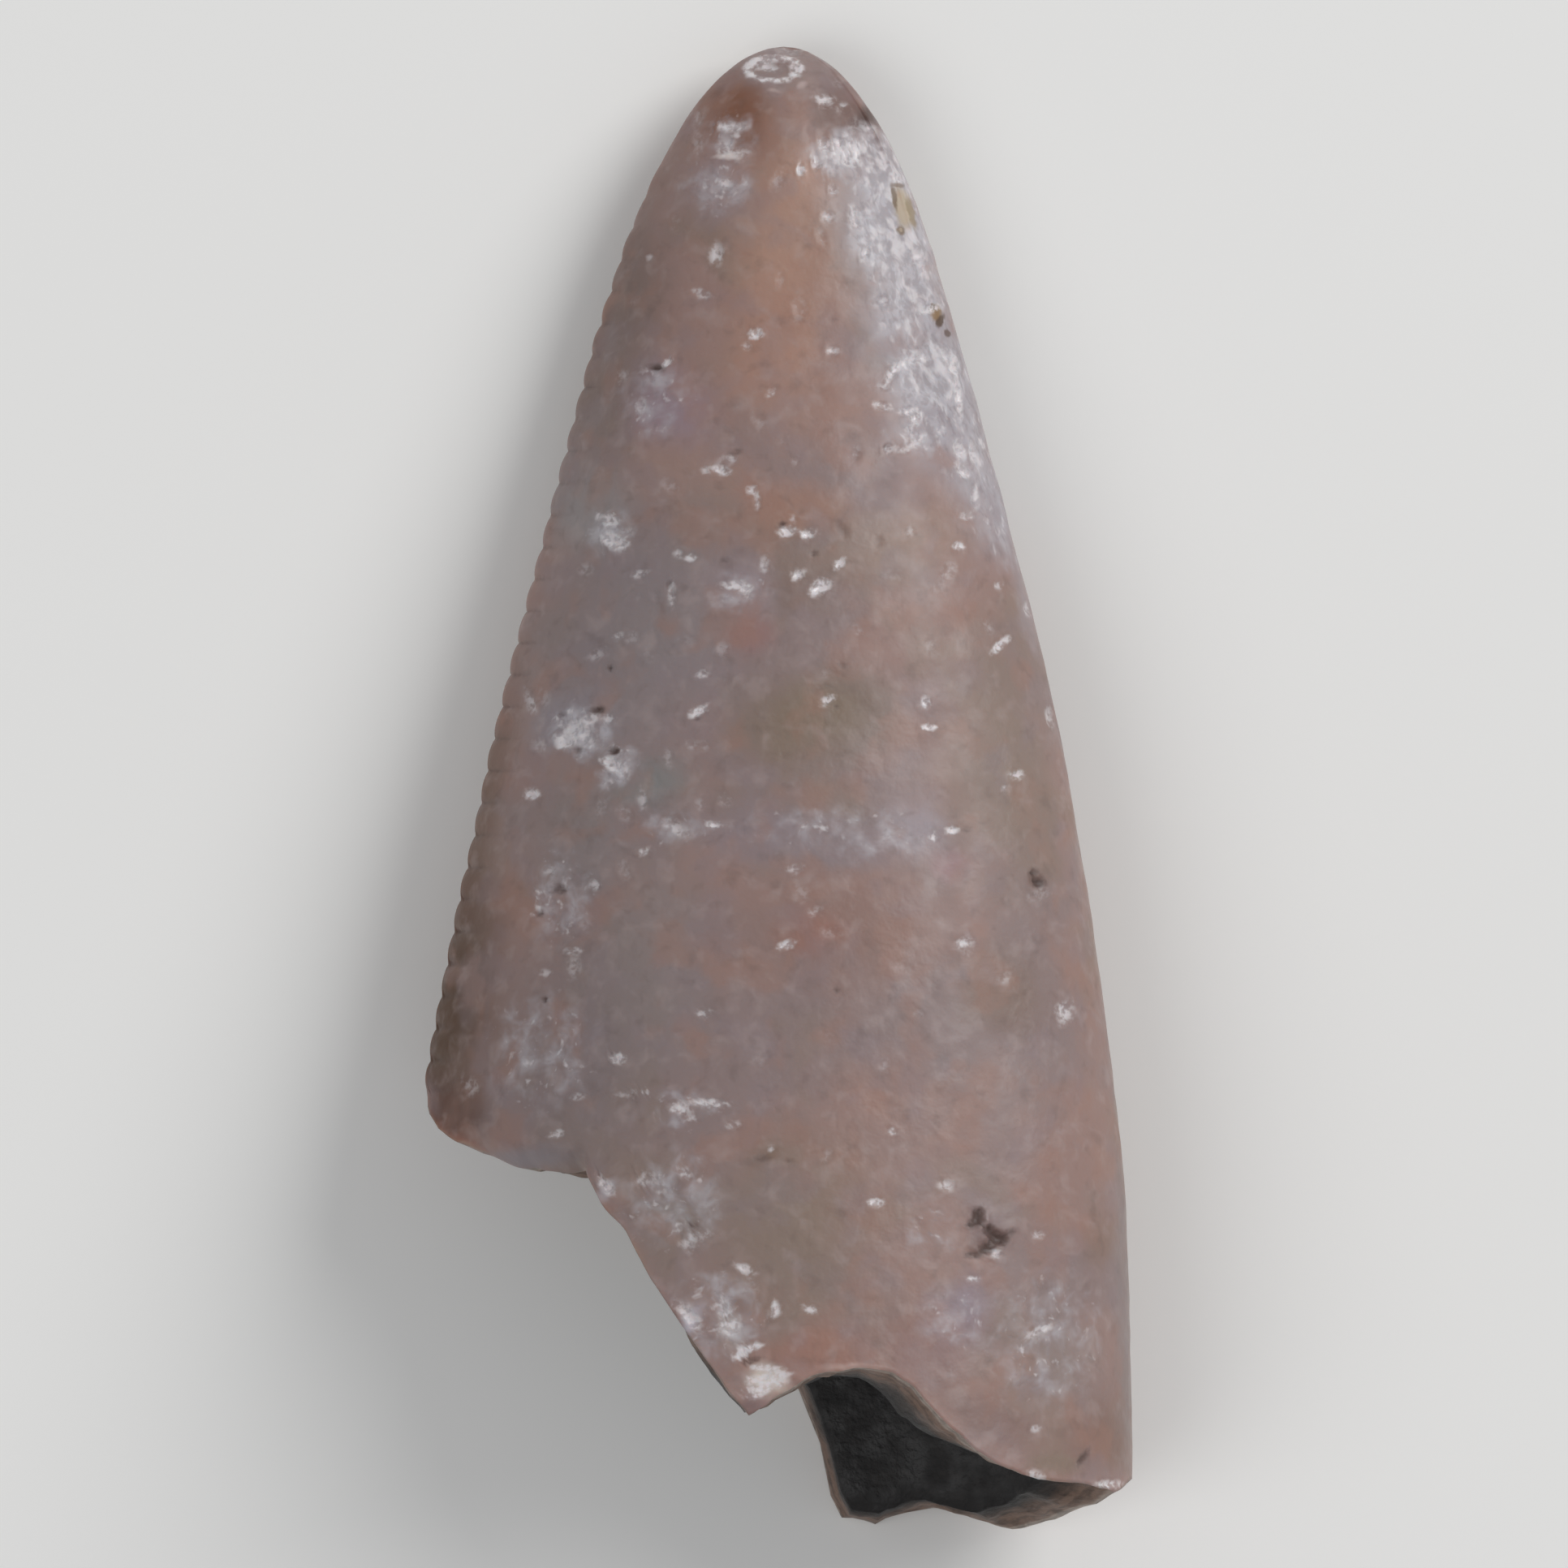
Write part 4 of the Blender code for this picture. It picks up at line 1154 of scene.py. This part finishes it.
def enamel():
    """Waxy fossil enamel: pink-brown, grey and olive, with patches, some of them painted highlights and
    shade, frost with a band of painted sheen, pale scars with painted glints, and dark pits in painted
    shade.
    """
    material = bpy.data.materials.new("enamel")
    material.use_nodes = True
    tree = material.node_tree
    places = tooth_places(tree)
    torn = warped(tree, places, *TORN)
    loose = warped(tree, torn, *LOOSE)
    middling = warped(tree, places, *MIDDLING)
    shade = mottled(tree, linear(*PINK), loose, BROAD_MOTTLES)
    for *spot, colour, strength in PATCHES:
        shade = mix(tree, patch(tree, loose, *spot, strength), shade, colour)
    for *spot, colour, strength in LINGUAL_PATCHES:
        shade = mix(tree, patch(tree, loose, *spot, strength, labial=False), shade, colour)
    shade = mottled(tree, shade, middling, FINE_MOTTLES)
    for *spot, colour, strength in MARKS:
        shade = mix(tree, patch(tree, torn, *spot, strength), shade, colour)
    shade = frosted(tree, shade, torn, middling, FROST_SPOTS)
    # The band beside the mesial edge is partly frost and partly a painted sheen.
    shade = frosted(tree, shade, torn, streaked(tree, middling), FROST_SHEEN_BAND)
    shade = frosted(tree, shade, torn, middling, LINGUAL_FROST, labial=False)
    crisp = warped(tree, places, *CRISP)
    for *spot, colour, strength in FLECKS:
        shade = mix(tree, patch(tree, crisp, *spot, strength, FLECK_EDGE), shade, colour)
    grain = lumpy(tree, places, *SPOT_GRAIN)
    # Painted shade in the pits, and darkening in the grooves between denticles.
    ragged = step(tree, grain, *SPOT_GRAIN_SPAN, *DARK_TORN)
    pit_and_groove_dark = step(tree, maths(tree, "MULTIPLY", read(tree, PIT_AND_GROOVE_DARK_NAME), ragged), *SPOT_SHOWS)
    shade = mix(tree, pit_and_groove_dark, shade, PIT_SHADE_AND_GROOVE_DARK)
    # Pale scars of the chips, with painted glints on them.
    ragged = step(tree, grain, *SPOT_GRAIN_SPAN, *SCAR_GLINT_TORN)
    scar_glint = step(tree, maths(tree, "MULTIPLY", read(tree, SCAR_GLINT_NAME), ragged), *SPOT_SHOWS)
    shade = mix(tree, scar_glint, shade, SCAR_GLINT_PALE)
    rough = step(tree, lumpy(tree, places, *ENAMEL_GLOSS), *NOISE_SPAN, *ENAMEL_ROUGHNESS)
    rough = maths(tree, "SUBTRACT", rough, maths(tree, "MULTIPLY", scar_glint, GLINT_SMOOTHER))
    relief = bump(tree, lumpy(tree, places, *ENAMEL_GRAIN), ENAMEL_GRAIN_HEIGHT)
    inputs = {"Base Color": shade, "Roughness": rough, "Normal": relief}
    finish_shader(material, {**inputs, **ENAMEL_SHADER})
    return material


def dentine():
    """The broken face and the pulp cavity: a pale enamel edge, tan banded dentine, and a dark cavity in
    painted shade.
    """
    material = bpy.data.materials.new("dentine")
    material.use_nodes = True
    tree = material.node_tree
    places = tooth_places(tree)
    wander = maths(tree, "MULTIPLY", lumpy(tree, places, *DEPTH_NOISE), DEPTH_NOISE_REACH)
    deep = maths(tree, "ADD", read(tree, DEPTH), maths(tree, "SUBTRACT", wander, DEPTH_NOISE_MIDDLE))
    shade = mix(tree, step(tree, deep, *ENAMEL_EDGE_ENDS), linear(*ENAMEL_EDGE), TAN)
    # Painted shade: the cavity's dark colour, deep in the wall.
    shade = mix(tree, step(tree, deep, *CAVITY_SHADE_STARTS), shade, CAVITY_SHADE_AND_BANDS)
    bands = maths(tree, "SINE", maths(tree, "MULTIPLY", deep, DENTINE_BANDS), 0.0)
    shade = mix(tree, step(tree, bands, *BANDS_SHOW, top=BANDS_STRENGTH), shade, CAVITY_SHADE_AND_BANDS)
    fine = lumpy(tree, places, *DENTINE_GRAIN)
    for start, full, strength, colour in DENTINE_MOTTLES:
        shade = mix(tree, step(tree, fine, start, full, top=strength), shade, colour)
    rough = step(tree, lumpy(tree, places, *DENTINE_GLOSS), *NOISE_SPAN, *DENTINE_ROUGHNESS)
    relief = bump(tree, lumpy(tree, places, *DENTINE_LUMPS), DENTINE_LUMPS_HEIGHT)
    finish_shader(material, {"Base Color": shade, "Roughness": rough, "Normal": relief})
    return material


def floor():
    """A large plain pale floor, a hair below the flat strip that the tooth lies on."""
    mesh = bpy.data.meshes.new("floor")
    half = FLOOR_SIDE / 2
    corners = [(x, y, -FLOOR_DROP) for x, y in ((-half, -half), (half, -half), (half, half), (-half, half))]
    mesh.from_pydata(corners, [], [(0, 1, 2, 3)])
    material = bpy.data.materials.new("floor")
    material.use_nodes = True
    finish_shader(material, {"Base Color": linear(*FLOOR_COLOUR), "Roughness": FLOOR_ROUGHNESS})
    mesh.materials.append(material)
    made = bpy.data.objects.new("floor", mesh)
    bpy.context.scene.collection.objects.link(made)


def studio():
    """Soft area lights round the tooth, and a pale surrounding light."""
    for name, spot, side, watts in LIGHTS:
        light = bpy.data.lights.new(name, "AREA")
        light.shape = "DISK"
        light.size = side
        light.energy = watts
        made = bpy.data.objects.new(name, light)
        made.location = spot
        made.rotation_euler = (-Vector(spot)).to_track_quat("-Z", "Y").to_euler()
        made.visible_camera = False
        bpy.context.scene.collection.objects.link(made)
    world = bpy.data.worlds.new("studio")
    world.use_nodes = True
    background = world.node_tree.nodes["Background"]
    background.inputs["Color"].default_value = linear(*SURROUND_COLOUR)
    background.inputs["Strength"].default_value = SURROUND_STRENGTH
    bpy.context.scene.world = world
    bpy.context.scene.view_settings.view_transform = "Standard"


def camera():
    """Looks straight down on the labial face, with the photograph's framing."""
    lens = bpy.data.cameras.new("camera")
    lens.sensor_width = SENSOR_WIDTH
    lens.lens = SENSOR_WIDTH * (CAMERA_HEIGHT - OUTLINE_HEIGHT) / FRAME_WIDTH
    made = bpy.data.objects.new("camera", lens)
    made.location = (*FRAME_MIDDLE, CAMERA_HEIGHT)
    bpy.context.scene.collection.objects.link(made)
    bpy.context.scene.camera = made


def main():
    tooth = crown()
    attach(tooth, "root")
    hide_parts("tooth_crown")
    floor()
    studio()
    camera()


main()
